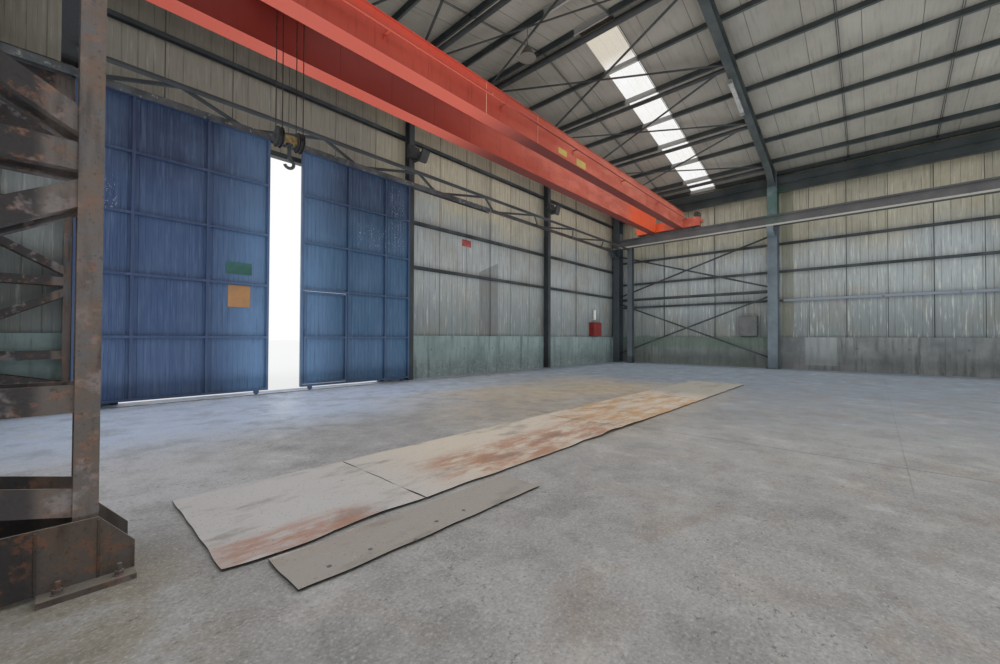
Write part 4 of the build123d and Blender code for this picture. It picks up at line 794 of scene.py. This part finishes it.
# Places that several pieces share
wall_inner, gable_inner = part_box("girts")[1].xy
wall_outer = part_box("side_cladding")[1].x
gable_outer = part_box("gable_cladding")[1].y
dado_low, dado_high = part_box("side_dados")
dado_top, column_back = dado_high.z, -dado_low.x - 0.14
column_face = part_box("runway_brackets")[1].x
sheet_thickness, purlin_height, rafter_height = 0.04, 0.14, 0.3
soffit_depth = sheet_thickness + purlin_height + rafter_height
purlin_middle_depth = sheet_thickness + purlin_height / 2
crane_middle_y, girder_lines, web_side = 12.55, (12.0, 13.1), 0.135


def below_roof(x, depth):
    """Height of the plane that lies depth below the top of the roof sheets, measured square to them."""
    return roof_high.z - roof_slope * abs(x - ridge_x) - depth / math.cos(roof_angle)


def sag_rods():
    """Thin round rods between the girts of the walls, and on between the purlins up to the ridge."""
    mesh = Mesh()
    rod = 0.008
    ridge_z = below_roof(ridge_x, purlin_middle_depth)
    for y in sag_rod_lines:
        for x in (0.05 - wall_inner, wall_inner - 0.05):
            top = below_roof(x, purlin_middle_depth)
            mesh.upright(x, y, dado_top, top, rod, 8)
            for beside in (y - 0.1, y - 0.065):
                mesh.round((x, beside, top), (ridge_x, beside, ridge_z), rod, 8)
    for x in (-7.7, -5.2, 1.0, 6.0):
        for y in (0.05 - gable_inner, gable_inner - 0.05):
            if y < 0 or x > 0:
                mesh.upright(x, y, dado_top, below_roof(x, soffit_depth), rod, 8)
    mesh.piece("sag_rods", "dark_steel", smooth=True)


def frame_joints():
    """Bolted plates at the ridge and knees, feet under the east columns, and purlin cleats."""
    plates, bolts = Mesh(), Mesh()
    plate = 0.016
    ridge_rows = (0.025, 0.1, 0.26)
    head_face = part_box("west_column_heads")[1].x
    for y in frame_lines:
        low = below_roof(ridge_x, soffit_depth) - 0.05
        for side in sides:
            face = ridge_x + side * plate
            plates.box((ridge_x, y - 0.1, low), (face, y + 0.1, low + 0.38))
            rows = [low + up for up in ridge_rows]
            bolts.bolts(face, (y - 0.06, y + 0.06), rows, (side, 0, 0), 0.016, 0.012)
        for knee, inward in ((column_face, -1), (head_face, 1)):
            foot, face = below_roof(knee, soffit_depth) - 0.1, knee + inward * plate
            plates.box((knee, y - 0.11, foot), (face, y + 0.11, foot + 0.41))
            rows = [foot + up for up in (0.05, 0.15, 0.25, 0.35)]
            bolts.bolts(face, (y - 0.07, y + 0.07), rows, (inward, 0, 0), 0.018, 0.014)
        at_gable = abs(y) > gable_inner - bay / 2
        reach, deck = 0.14 if at_gable else 0.2, floor_z + 0.02
        plates.box((column_face - 0.07, y - reach, floor_z), (column_back, y + reach, deck))
        for x in () if at_gable else (column_face - 0.03, column_face + 0.2):
            bolts.bolts(x, (y + 0.03 - reach, y + reach - 0.03), [deck], (0, 0, 1), 0.02, 0.03)
    for low, high in boxes("purlins"):
        for y in frame_lines:
            if low[1] - 0.1 < y < high[1] + 0.1:
                west, far = low[0] - 0.006, y - math.copysign(0.09, y)
                seat = below_roof(west, sheet_thickness + purlin_height) + 0.004
                plates.box((west, y, seat), (low[0], far, seat + 0.12))
                bolts.bolts(west, [(y + far) / 2], (seat + 0.035, seat + 0.085), (-1, 0, 0), 0.011, 0.006)
    plates.piece("frame_plates", "rafter_steel")
    bolts.piece("frame_bolts", "rafter_steel")


def eaves_plates():
    """Folded closing plates on the eaves beams, between the rafters."""
    mesh = Mesh()
    low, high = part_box("eaves_beams")
    for face, side, foot in ((low.x + 0.15, -1, high.z - 0.3), (high.x - 0.15, 1, high.z)):
        for start in frame_lines[:-1]:
            for depth, base, top in ((0.006, 0, 0.25), (0.08, 0, 0.006), (0.08, 0.244, 0.25)):
                far = (face + side * depth, start + bay - 0.12, foot + top)
                mesh.box((face, start + 0.12, foot + base), far)
    mesh.piece("eaves_plates", "rafter_steel")


def lattice_feet():
    """Nuts on studs beside the boots of the lattice columns, and a weld bead up each boot."""
    bolts, welds = Mesh(), Mesh()
    heel, toe = (corner.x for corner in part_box("lattice_columns"))
    plate_top = floor_z + 0.025
    boot_side, plate_side = 0.142, 0.22
    stud = (boot_side + plate_side) / 2
    for y in frame_lines:
        for side in sides:
            if abs(y + side * stud) < gable_inner - 0.12:
                for x in (toe - 0.241, toe - 0.055, heel + 0.06, heel + 0.24):
                    lean = (random.uniform(-0.04, 0.04), random.uniform(-0.04, 0.04), 1)
                    bolts.bolt((x, y + side * stud, plate_top), lean, 0.019, 0.03)
            for x in (toe - 0.305, toe - 0.12, heel + 0.12):
                for i in range(36):
                    z = plate_top + 0.007 * i
                    swell = 0.0045 + random.uniform(0, 0.0015)
                    welds.upright(x, y + side * boot_side, z, z + 0.008, swell, 8, swell * 0.7)
    bolts.piece("anchor_bolts", "rust_brown_steel")
    welds.piece("boot_welds", "rust_brown_steel", smooth=True)


def rail_clips():
    """Pairs of bolted clips that hold the crane rails down."""
    mesh = Mesh()
    low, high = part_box("crane_runways")
    deck = low.z + 0.36
    for x in (low.x + 0.1, high.x - 0.1):
        for i in range(-19, 20):
            y = 0.75 * i
            for side in sides:
                mesh.box((x + side * 0.026, y - 0.03, deck), (x + side * 0.072, y + 0.03, deck + 0.014))
                mesh.bolt((x + side * 0.055, y, deck + 0.014), (0, 0, 1), 0.01, 0.008)
    mesh.piece("rail_clips", "runway_steel")


def door_ribs():
    """Upright ribs on both faces of each part of the door leaves, riding with it."""
    pitch, width, slant, depth = 0.08, 0.036, 0.008, 0.007
    low, high = {}, {}
    for node in ("left_leaf", "right_leaf_upper", "right_leaf_lower", "right_leaf_sill", "wicket_door"):
        low[node], high[node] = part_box(node)
    front, wicket = high["left_leaf"].y, low["wicket_door"].x
    for node, west, east, foot, body in (
        ("left_leaf", low["left_leaf"].x, high["left_leaf"].x, 0.237, "left_leaf"),
        ("right_leaf_upper", low["right_leaf_upper"].x, high["right_leaf_upper"].x, 2.17, "right_leaf"),
        ("right_leaf_lower", high["wicket_door"].x + 0.01, high["right_leaf_lower"].x, 0.237, "right_leaf"),
        ("wicket_door", wicket + 0.004, wicket + 0.896, high["right_leaf_sill"].z + 0.014, "wicket_door"),
    ):
        mesh = Mesh()
        for i in range(math.ceil(west / pitch), math.floor((east - width) / pitch) + 1):
            x = i * pitch
            for face, out in ((front - 0.02, -depth), (front, depth)):
                crest = [(x + slant, face + out), (x + width - slant, face + out)]
                mesh.prism([(x, face), *crest, (x + width, face)], 2, foot, high[node].z - 0.004)
        mesh.piece(node + "_ribs", "door_blue", body)


def bare_plate(name, colours, west, foot, east, head, back, body="building"):
    """Thin bare plate with rounded corners and a screw head at each corner; it faces south from its back."""
    mesh = Mesh()
    face = back - 0.004
    mesh.prism(rounded(west, foot, east, head, 0.012), 1, back, face)
    for x in (west + 0.02, east - 0.02):
        for z in (foot + 0.02, head - 0.02):
            mesh.round((x, face, z), (x, face - 0.002, z), 0.004, 8)
    mesh.piece(name, colours, body, slot="cabinet_paint")


def bare_plates():
    """The plates where the hall and its crane have signs, left bare."""
    leaf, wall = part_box("left_leaf")[1].y - 0.027, gable_outer - sheet_thickness
    web = girder_lines[0] - web_side
    green = plain_paint("green_plate", (42, 90, 84), (58, 102, 98))
    amber = plain_paint("amber_plate", (168, 122, 74), (146, 112, 80))
    red = plain_paint("red_plate", (138, 48, 50), (160, 96, 94))
    yellow = plain_paint("yellow_plate", (188, 166, 78), (170, 150, 92))
    bare_plate("green_plate", green, -6.19, 2.35, -5.79, 2.56, leaf, "left_leaf")
    bare_plate("amber_plate", amber, -6.16, 1.76, -5.81, 2.15, leaf, "left_leaf")
    bare_plate("red_plate", red, -0.17, 3.92, 0.19, 4.12, wall)
    bare_plate("west_yellow_plate", yellow, -0.15, 5.645, 0.2, 5.785, web, "crane_bridge")
    bare_plate("east_yellow_plate", yellow, 0.65, 5.61, 1.09, 5.78, web, "crane_bridge")


def girder_seams():
    """Weld beads down the girders' webs at every metre and along their flanges."""
    mesh = Mesh()
    low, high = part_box("crane_girders")
    foot, head = low.z + 0.013, low.z + 0.627
    for y in [line + side * web_side for line in girder_lines for side in sides]:
        for i in range(16):
            mesh.upright(low.x + 0.95 + i, y, foot, head, 0.004, 6)
        for z in (foot, head):
            mesh.round((low.x, y, z), (high.x, y, z), 0.005, 6)
    mesh.piece("girder_seams", "crane_red", "crane_bridge")


def drum_rope():
    """Rope wound from the middle of the drum outwards on both sides."""
    mesh = Mesh()
    turns, steps, count, pitch = 15, 36, 6, 0.0165
    drum_radius, rope_radius = 0.1205, 0.0075
    last = turns * steps
    faces = [tuple(range(count)), tuple(range(count * last, count * last + count))]
    for i in range(0, count * last, count):
        for k in range(count):
            a, b = i + k, i + (k + 1) % count
            faces.append((a, b, b + count, a + count))
    for half in sides:
        points = []
        for i in range(last + 1):
            angle = 2 * math.pi * i / steps
            around = Vector((0, math.cos(angle), math.sin(angle)))
            middle = Vector((hook_x + half * (0.02 + pitch * i / steps), crane_middle_y, drum_z))
            middle += around * (drum_radius + rope_radius)
            for across, out in ring(0, 0, rope_radius, count):
                points.append(middle + around * across + Vector((out, 0, 0)))
        mesh.add(points, faces)
    mesh.piece("drum_rope", "rope_steel", "crane_trolley", smooth=True)


def hoist_fins():
    """Cooling fins round the hoist motor, a cowl behind it and a terminal box on it."""
    mesh = Mesh()
    x, y, z, radius = -6.32, 12.85, 6.515, 0.105
    for i in range(24):
        angle = 2 * math.pi * (i + 0.5) / 24
        out = Vector((0, math.cos(angle), math.sin(angle)))
        across = Vector((0, -math.sin(angle), math.cos(angle))) * 0.002
        points = []
        for along in (x + 0.1, x + 0.38):
            for reach in (radius - 0.004, radius + 0.008):
                points += [Vector((along, y, z)) + out * reach + side * across for side in sides]
        mesh.add(points)
    mesh.round((x, y, z), (x + 0.085, y, z), radius + 0.007, 32)
    mesh.prism(rounded(x + 0.16, y - 0.05, x + 0.3, y + 0.05, 0.012), 2, z + 0.09, 6.64)
    mesh.piece("hoist_motor_fins", "roller_steel", "crane_trolley")


def bolt_circle(mesh, x, middle, radius, first, count, way, size, reach):
    """Bolts in a circle on a face that looks along x."""
    for i in range(count):
        angle = math.radians(first + 360 / count * i)
        spot = (x, middle[0] + radius * math.cos(angle), middle[1] + radius * math.sin(angle))
        mesh.bolt(spot, (way, 0, 0), size, reach)


def hook_cheeks():
    """Guard plates beside the two sheaves of the hook block, with the axle's nuts and tie bolts."""
    mesh = Mesh()
    plate, inner, outer, guard = 0.008, 0.095, 0.172, 0.122
    middle = (crane_middle_y, sheave_z)
    for side in sides:
        for place in (inner, outer):
            near = hook_x + side * place
            mesh.prism(ring(*middle, guard, 36), 0, near, near + side * plate)
        face = hook_x + side * (outer + plate)
        mesh.bolt((face, *middle), (side, 0, 0), 0.032, 0.01)
        bolt_circle(mesh, face, middle, 0.1, 90, 3, side, 0.01, 0.004)
    mesh.piece("hook_block_guards", "dark_steel", "crane_hook")


def carriage_details():
    """Wheel-box covers with bolts on both faces of the end carriages."""
    mesh = Mesh()
    wheel_y, wheel_z = (crane_middle_y - 1, crane_middle_y + 1), 5.74
    for low, high in boxes("crane_end_carriages"):
        for middle in [(y, wheel_z) for y in wheel_y]:
            for face, out in ((low[0], -1), (high[0], 1)):
                cover = face + out * 0.006
                mesh.prism(ring(*middle, 0.085, 28), 0, face, cover)
                bolt_circle(mesh, cover, middle, 0.066, 0, 6, out, 0.009, 0.003)
    mesh.piece("carriage_covers", "crane_red", "crane_bridge")


def cabinet_paint():
    """Grey paint on the control cabinet, red on the hydrant cabinet and white on the lamp above it."""
    p = Paint("cabinet_cases")
    cloud = p.noise(0.2, 5, 0.6)
    share = p.span(cloud, 0.35, 0.7)
    red = p.over(share, srgb(128, 38, 34), srgb(108, 38, 34))
    grey = p.over(share, srgb(96, 99, 99), srgb(82, 85, 86))
    p.colour = p.over(p.span(p.x, 8.4, 8.5), red, grey)
    lamp = p.both(p.span(p.x, 8.4, 8.5, 1.0, 0.0), p.span(p.z, 1.95, 2.0))
    p.coat(lamp, 212, 214, 210)
    p.coat(p.span(p.up, 0.4, 0.9, 0.0, 0.6), 142, 138, 130)
    p.coat(p.span(p.noise(0.03, 5, 0.7), 0.6, 0.72, 0.0, 0.5), 84, 80, 76)
    return p.finish(p.span(cloud, 0.3, 0.7, 0.42, 0.6), p.noise(0.01, 3), 0.0004)


def cabinets():
    """Control cabinet, hydrant cabinet and wall lamp, with doors, hinges, latches and glands."""
    mesh = Mesh()
    handle_z = 1.6
    hydrant, lamp, control = boxes("wall_cabinets")
    (west, south, foot), (east, north, head) = control
    mesh.prism(rounded(south, foot, north, head, 0.055, 6), 0, west + 0.012, east)
    mesh.prism(rounded(south + 0.03, foot + 0.03, north - 0.03, head - 0.03, 0.03), 0, west, west + 0.012)
    for z in (foot + 0.12, head - 0.12):
        mesh.upright(west + 0.004, north - 0.02, z - 0.03, z + 0.03, 0.007, 10)
    y, z = south + 0.07, (foot + head) / 2
    mesh.round((west - 0.012, y, z), (west, y, z), 0.018, 16)
    mesh.box((west - 0.018, y - 0.006, z - 0.04), (west - 0.01, y + 0.006, z + 0.012))
    for i in range(5):
        z = foot + 0.1 + 0.022 * i
        mesh.box((west - 0.003, south + 0.2, z), (west + 0.001, north - 0.2, z + 0.007))
    for y in (south + 0.15, south + 0.31, north - 0.15):
        mesh.upright(east - 0.1, y, foot - 0.03, foot + 0.005, 0.018)
    (west, south, foot), (east, north, head) = hydrant
    west, east = west + 0.19, east - 0.03
    mesh.prism(rounded(west, foot, east, head, 0.02), 1, south + 0.014, north)
    for near, far in ((west + 0.012, west + 0.335), (west + 0.345, east - 0.012)):
        mesh.prism(rounded(near, foot + 0.015, far, head - 0.015, 0.012), 1, south, south + 0.014)
        mesh.prism(rounded(near + 0.05, foot + 0.08, far - 0.05, head - 0.08, 0.01), 1, south - 0.003, south)
    for x in (west + 0.31, west + 0.37):
        mesh.round((x, south - 0.012, handle_z), (x, south, handle_z), 0.012, 14)
    for x in (west + 0.006, east - 0.006):
        for z in (foot + 0.1, head - 0.1):
            mesh.upright(x, south + 0.006, z - 0.025, z + 0.025, 0.006, 10)
    (west, south, foot), (east, north, head) = lamp
    x, y = east + 0.03, south + 0.02
    mesh.upright(x, y, foot - 0.085, head + 0.2, 0.058, 24)
    for z in (foot - 0.1, head + 0.2):
        mesh.upright(x, y, z, z + 0.015, 0.063, 24)
    mesh.box((x - 0.03, y + 0.02, foot + 0.01), (x + 0.03, north, head))
    mesh.piece("cabinet_cases", cabinet_paint(), slot="cabinet_paint", replaces=["wall_cabinets"])


def lamp_trim():
    """Frames, lenses, fins and hoods on the floodlights, and end caps on the batten lamp."""
    metal, glass, caps = Mesh(), Mesh(), Mesh()
    hood = (0.08, -0.2), (0.3, -0.2), (0.42, 0.12), (0.2, 0.15)
    arm = (0.06, -0.2), (0.1, -0.2), (0.24, 0.1), (0.2, 0.1)
    fittings = solids("lamps")
    for points in (fittings[0], fittings[3]):
        (west, south, _), (east, north, head) = points.min(0), points.max(0)
        x, y, z = points.mean(0)
        top = points[points[:, 2] > head - 0.001]
        tip = points[points[:, 1].argmin()][1:]
        rise = top[top[:, 1].argmin()][1:] - tip
        out = np.array((-rise[1], rise[0])) / np.linalg.norm(rise)
        for part, margin, inset, depth in ((metal, 0.02, 0.0, 0.012), (glass, 0.1, 0.025, 0.015)):
            sheet = []
            for away in (0.0, depth):
                for share in (margin, 1 - margin):
                    place = tip + rise * share + out * away
                    sheet += [(west + inset, *place), (east - inset, *place)]
            part.add(sheet)
        for face, way in ((west, -1), (east, 1)):
            metal.box((face, y - 0.02, z - 0.02), (face + way * 0.006, north, z + 0.02))
            metal.round((face, y, z), (face + way * 0.018, y, z), 0.016)
        for i in range(9):
            fin = west + 0.03 + (east - west - 0.06) * i / 8
            metal.box((fin - 0.002, y, head - 0.02), (fin + 0.002, north - 0.02, head + 0.012))
        for outline, near, far in ((hood, south - 0.06, south), (arm, south, north)):
            metal.prism([(x + across, z + up) for across, up in outline], 1, near, far)
    batten = fittings[4]
    south, north = batten[:, 1].min() - 0.004, batten[:, 1].max() + 0.004
    for x in (batten[:, 0].min(), batten[:, 0].max()):
        z = batten[np.isclose(batten[:, 0], x), 2].min()
        caps.box((x - 0.015, south, z - 0.07), (x + 0.015, north, z + 0.004))
    caps.piece("batten_caps", "lamp_housing")
    metal.piece("floodlight_frames", "dark_steel")
    glass.piece("floodlight_lenses", own_paints["lamps"], slot="lamp_housing")


def cover_height(x, y, south):
    """How far a floor cover stands off the floor there; south runs from 0 inside to 1 at its south edge."""
    spot = Vector((x * 0.9, y * 1.6, 3.0))
    rolling = 0.5 + 0.5 * noise.noise(spot)
    dents = 0.5 + 0.5 * noise.noise(spot * 5.5)
    lifted = math.exp(-((x + 3.75) / 0.7) ** 2) * 0.02 + math.exp(-((x + 6.9) / 0.35) ** 2) * 0.006
    ripple = 0.5 + 0.5 * math.sin(x * 9.0)
    return 0.004 + 0.004 * rolling + 0.003 * dents + south * south * lifted * (0.55 + 0.45 * ripple)


def floor_cover_sheets():
    """Bent and torn steel sheets over the floor channel, each a thin plate with wandering edges."""
    mesh, holes = Mesh(), Mesh()
    step, thickness, lap = 0.035, 0.007, 0.0006
    for index, (low, high) in enumerate(boxes("floor_covers")):
        across, along = (max(2, round((high[i] - low[i]) / step)) for i in (0, 1))
        tops = []
        for i in range(across + 1):
            for j in range(along + 1):
                u, v = i / across, j / along
                x, y = low[0] + (high[0] - low[0]) * u, low[1] + (high[1] - low[1]) * v
                x += abs(2 * u - 1) ** 12 * 0.012 * noise.noise(Vector((index * 7.0, y * 4.0, 1.0)))
                y += abs(2 * v - 1) ** 12 * 0.022 * noise.noise(Vector((x * 3.0, index * 5.0, 2.0)))
                if index == 0:
                    y -= 0.04 * max(0.0, 1 - 4 * v) * math.sin(math.pi * min(1.0, u * 2.2))
                if index == 4 and u > 0.9:
                    x -= 0.12 * (u - 0.9) * 10 * (0.5 + 0.5 * math.sin(y * 23))
                south = max(0.0, 1 - 3 * v) if index != 1 else 0.0
                tops.append((x, y, floor_z + thickness + lap * index + cover_height(x, y, south)))
        rows, count = along + 1, len(tops)
        faces = []
        for i in range(across):
            for a in range(i * rows, i * rows + along):
                face = (a, a + rows, a + rows + 1, a + 1)
                faces += [face, [count + corner for corner in face]]
        rim = [i * rows for i in range(across + 1)] + [across * rows + j for j in range(1, rows)]
        rim += [i * rows + along for i in range(across - 1, -1, -1)] + [j for j in range(along - 1, 0, -1)]
        faces += [(a, b, count + b, count + a) for a, b in zip(rim, rim[1:] + rim[:1])]
        mesh.add(tops + [(x, y, z - thickness) for x, y, z in tops], faces)
    mesh.piece("floor_cover_sheets", "rusty_steel", replaces=["floor_covers"])
    for i in range(6):
        x, y = -7.33 + 0.21 * i, 8.22 - 0.09 * (i % 3 == 2)
        top = floor_z + thickness + lap + cover_height(x, y, 0.0)
        holes.upright(x, y, top - 0.004, top + lap, 0.012)
    holes.piece("cover_holes", "dark_steel")


def flashings():
    """Folded trims at the corners, verges, eaves and doorway, and a drip edge along the foot of the walls."""
    mesh = Mesh()
    skin, proud, leg = 0.0015, 0.004, 0.16
    wall_x, wall_y = wall_outer + proud, gable_outer + proud
    foot = dado_top - 0.03
    for side in sides:
        x, inner = side * wall_x, side * (wall_x - skin)
        eave = below_roof(x, sheet_thickness)
        for end in sides:
            y, back = end * wall_y, end * (wall_y - skin)
            mesh.box((x, y, foot), (inner, end * (wall_y - leg), eave - 0.005))
            mesh.box((x, y, foot), (side * (wall_x - leg), back, eave - 0.005))
            verge = []
            for across in (ridge_x, x):
                top = below_roof(across, sheet_thickness)
                for place in (y, back):
                    verge += [(across, place, top - 0.2), (across, place, top - 0.001)]
            mesh.add(verge)
        mesh.box((x, -wall_y, eave - 0.17), (inner, wall_y, eave - 0.002))
        ledge = side * (wall_x + 0.02), side * (wall_outer - 0.02)
        mesh.box((ledge[0], -wall_y, foot), (ledge[1], wall_y, foot + skin))
        mesh.box((min(ledge), -wall_y, foot - 0.015), (min(ledge) + skin, wall_y, foot + skin))
    (west, *_), (east, *_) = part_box("door_jambs")
    head, past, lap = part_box("door_lintel")[1].z, 0.12, 0.1
    for near, far in ((west - past, west + lap), (east - lap, east + past)):
        mesh.box((near, wall_y - skin, floor_z), (far, wall_y, head + past))
    mesh.box((west - past, wall_y, head - lap), (east + past, wall_y + skin, head + past))
    mesh.piece("wall_flashings", "trim_paint", slot="wall_cladding")


for make in (
    sag_rods, frame_joints, eaves_plates, lattice_feet, rail_clips, door_ribs, bare_plates, girder_seams,
    drum_rope, hoist_fins, hook_cheeks, carriage_details, cabinets, lamp_trim, floor_cover_sheets, flashings,
):
    make()


# Camera: it stands inside the hall, between two lattice columns
photo_width = 1000
focal_pixels = 407.0
sensor_width = 36.0
camera_place = Vector((-8.2, 6.35, 1.23))
camera_yaw, camera_pitch, camera_roll = (math.radians(angle) for angle in (-47.45, 0.77, -0.2))
camera_data = bpy.data.cameras.new("camera")
camera_data.sensor_width = sensor_width
camera_data.lens = focal_pixels * sensor_width / photo_width
camera_data.clip_start = 0.05
camera_data.clip_end = 500.0
camera = add_object("camera", camera_data)
turned = Matrix.Rotation(camera_yaw, 4, "Z") @ Matrix.Rotation(camera_pitch, 4, "X")
turned = turned @ Matrix.Rotation(camera_roll, 4, "Y") @ Matrix.Rotation(math.radians(90), 4, "X")
camera.matrix_world = Matrix.Translation(camera_place) @ turned
bpy.context.scene.camera = camera


# Light: soft panels on all sides of the hall, an even sky and a broad sun from behind
def soft_panel(name, place, turn, width, depth, level):
    """Flat lamp inside the hall; level is its brightness, where 1 is white."""
    data = bpy.data.lights.new(name, "AREA")
    data.shape = "RECTANGLE"
    data.size, data.size_y = width, depth
    data.energy = level * math.pi * width * depth
    lamp = add_object(name, data)
    lamp.location = place
    lamp.rotation_euler = turn
    lamp.visible_camera = False
    lamp.visible_glossy = False
    lamp.visible_transmission = False


hall_width, hall_length, lamp_top = 17.6, 29.2, floor_z + 6.5
quarter, middle_z = math.pi / 2, (floor_z + lamp_top) / 2
soft_panel("lamp_from_above", (0, 0, lamp_top), (0, 0, 0), hall_width, hall_length, 1.0)
soft_panel("lamp_from_below", (0, 0, floor_z + 0.3), (math.pi, 0, 0), hall_width, hall_length, 0.85)
for side, name in zip(sides, ("west", "east")):
    place = (side * hall_width / 2, 0, middle_z)
    soft_panel("lamp_from_" + name, place, (0, side * quarter, 0), lamp_top - floor_z - 0.6, hall_length, 0.7)
for side, name in zip(sides, ("south", "north")):
    place = (0, side * hall_length / 2, middle_z)
    soft_panel("lamp_from_" + name, place, (-side * quarter, 0, 0), hall_width, lamp_top - floor_z - 0.6, 0.7)
sun_data = bpy.data.lights.new("sun", "SUN")
sun_data.energy = 1.2
sun_data.angle = math.radians(25)
sun = add_object("sun", sun_data)
sun.rotation_euler = [math.radians(angle) for angle in (38, 18, 20)]


def background_rays(tree):
    """1 for the rays that see the background: straight ones, reflections and those through glass."""
    ray = tree.nodes.new("ShaderNodeLightPath")
    result = ray.outputs["Is Camera Ray"]
    for kind in ("Is Glossy Ray", "Is Transmission Ray"):
        either = tree.nodes.new("ShaderNodeMath")
        either.operation = "MAXIMUM"
        tree.links.new(result, either.inputs[0])
        tree.links.new(ray.outputs[kind], either.inputs[1])
        result = either.outputs[0]
    return result


world = bpy.data.worlds.new("sky")
world.use_nodes = True
bpy.context.scene.world = world
sky = world.node_tree
lit, seen = sky.nodes["Background"], sky.nodes.new("ShaderNodeBackground")
lit.inputs["Color"].default_value = (0.93, 0.96, 1.0, 1.0)
lit.inputs["Strength"].default_value = 0.75
seen.inputs["Color"].default_value = (1.0, 1.0, 1.0, 1.0)
seen.inputs["Strength"].default_value = 1.0
choice = sky.nodes.new("ShaderNodeMixShader")
sky.links.new(background_rays(sky), choice.inputs[0])
sky.links.new(lit.outputs[0], choice.inputs[1])
sky.links.new(seen.outputs[0], choice.inputs[2])
sky.links.new(choice.outputs[0], sky.nodes["World Output"].inputs["Surface"])

# Stage: a plain pale floor under the building
stage_mesh = bpy.data.meshes.new("stage_floor")
half, stage_z = 150.0, -0.004
stage_corners = [(x * half, y * half, stage_z) for x, y in ((-1, -1), (1, -1), (1, 1), (-1, 1))]
stage_mesh.from_pydata(stage_corners, [], [(0, 1, 2, 3)])
stage_floor = add_object("stage_floor", stage_mesh)
stage_paint = Paint("stage_floor")
stage_paint.colour = srgb(226, 226, 224)
stage_mesh.materials.append(stage_paint.finish(0.9))
glow = stage_paint.node("ShaderNodeEmission", Color=(1.0, 1.0, 1.0, 1.0), Strength=1.0)
blend = stage_paint.node("ShaderNodeMixShader")
share = stage_paint.math("MULTIPLY", background_rays(stage_paint.tree), 0.7)
stage_paint.feed(blend.inputs[0], share)
stage_paint.feed(blend.inputs[1], stage_paint.shader.outputs[0])
stage_paint.feed(blend.inputs[2], glow.outputs[0])
stage_paint.feed(stage_paint.tree.nodes["Material Output"].inputs["Surface"], blend.outputs[0])

bpy.context.scene.view_settings.view_transform = "Standard"
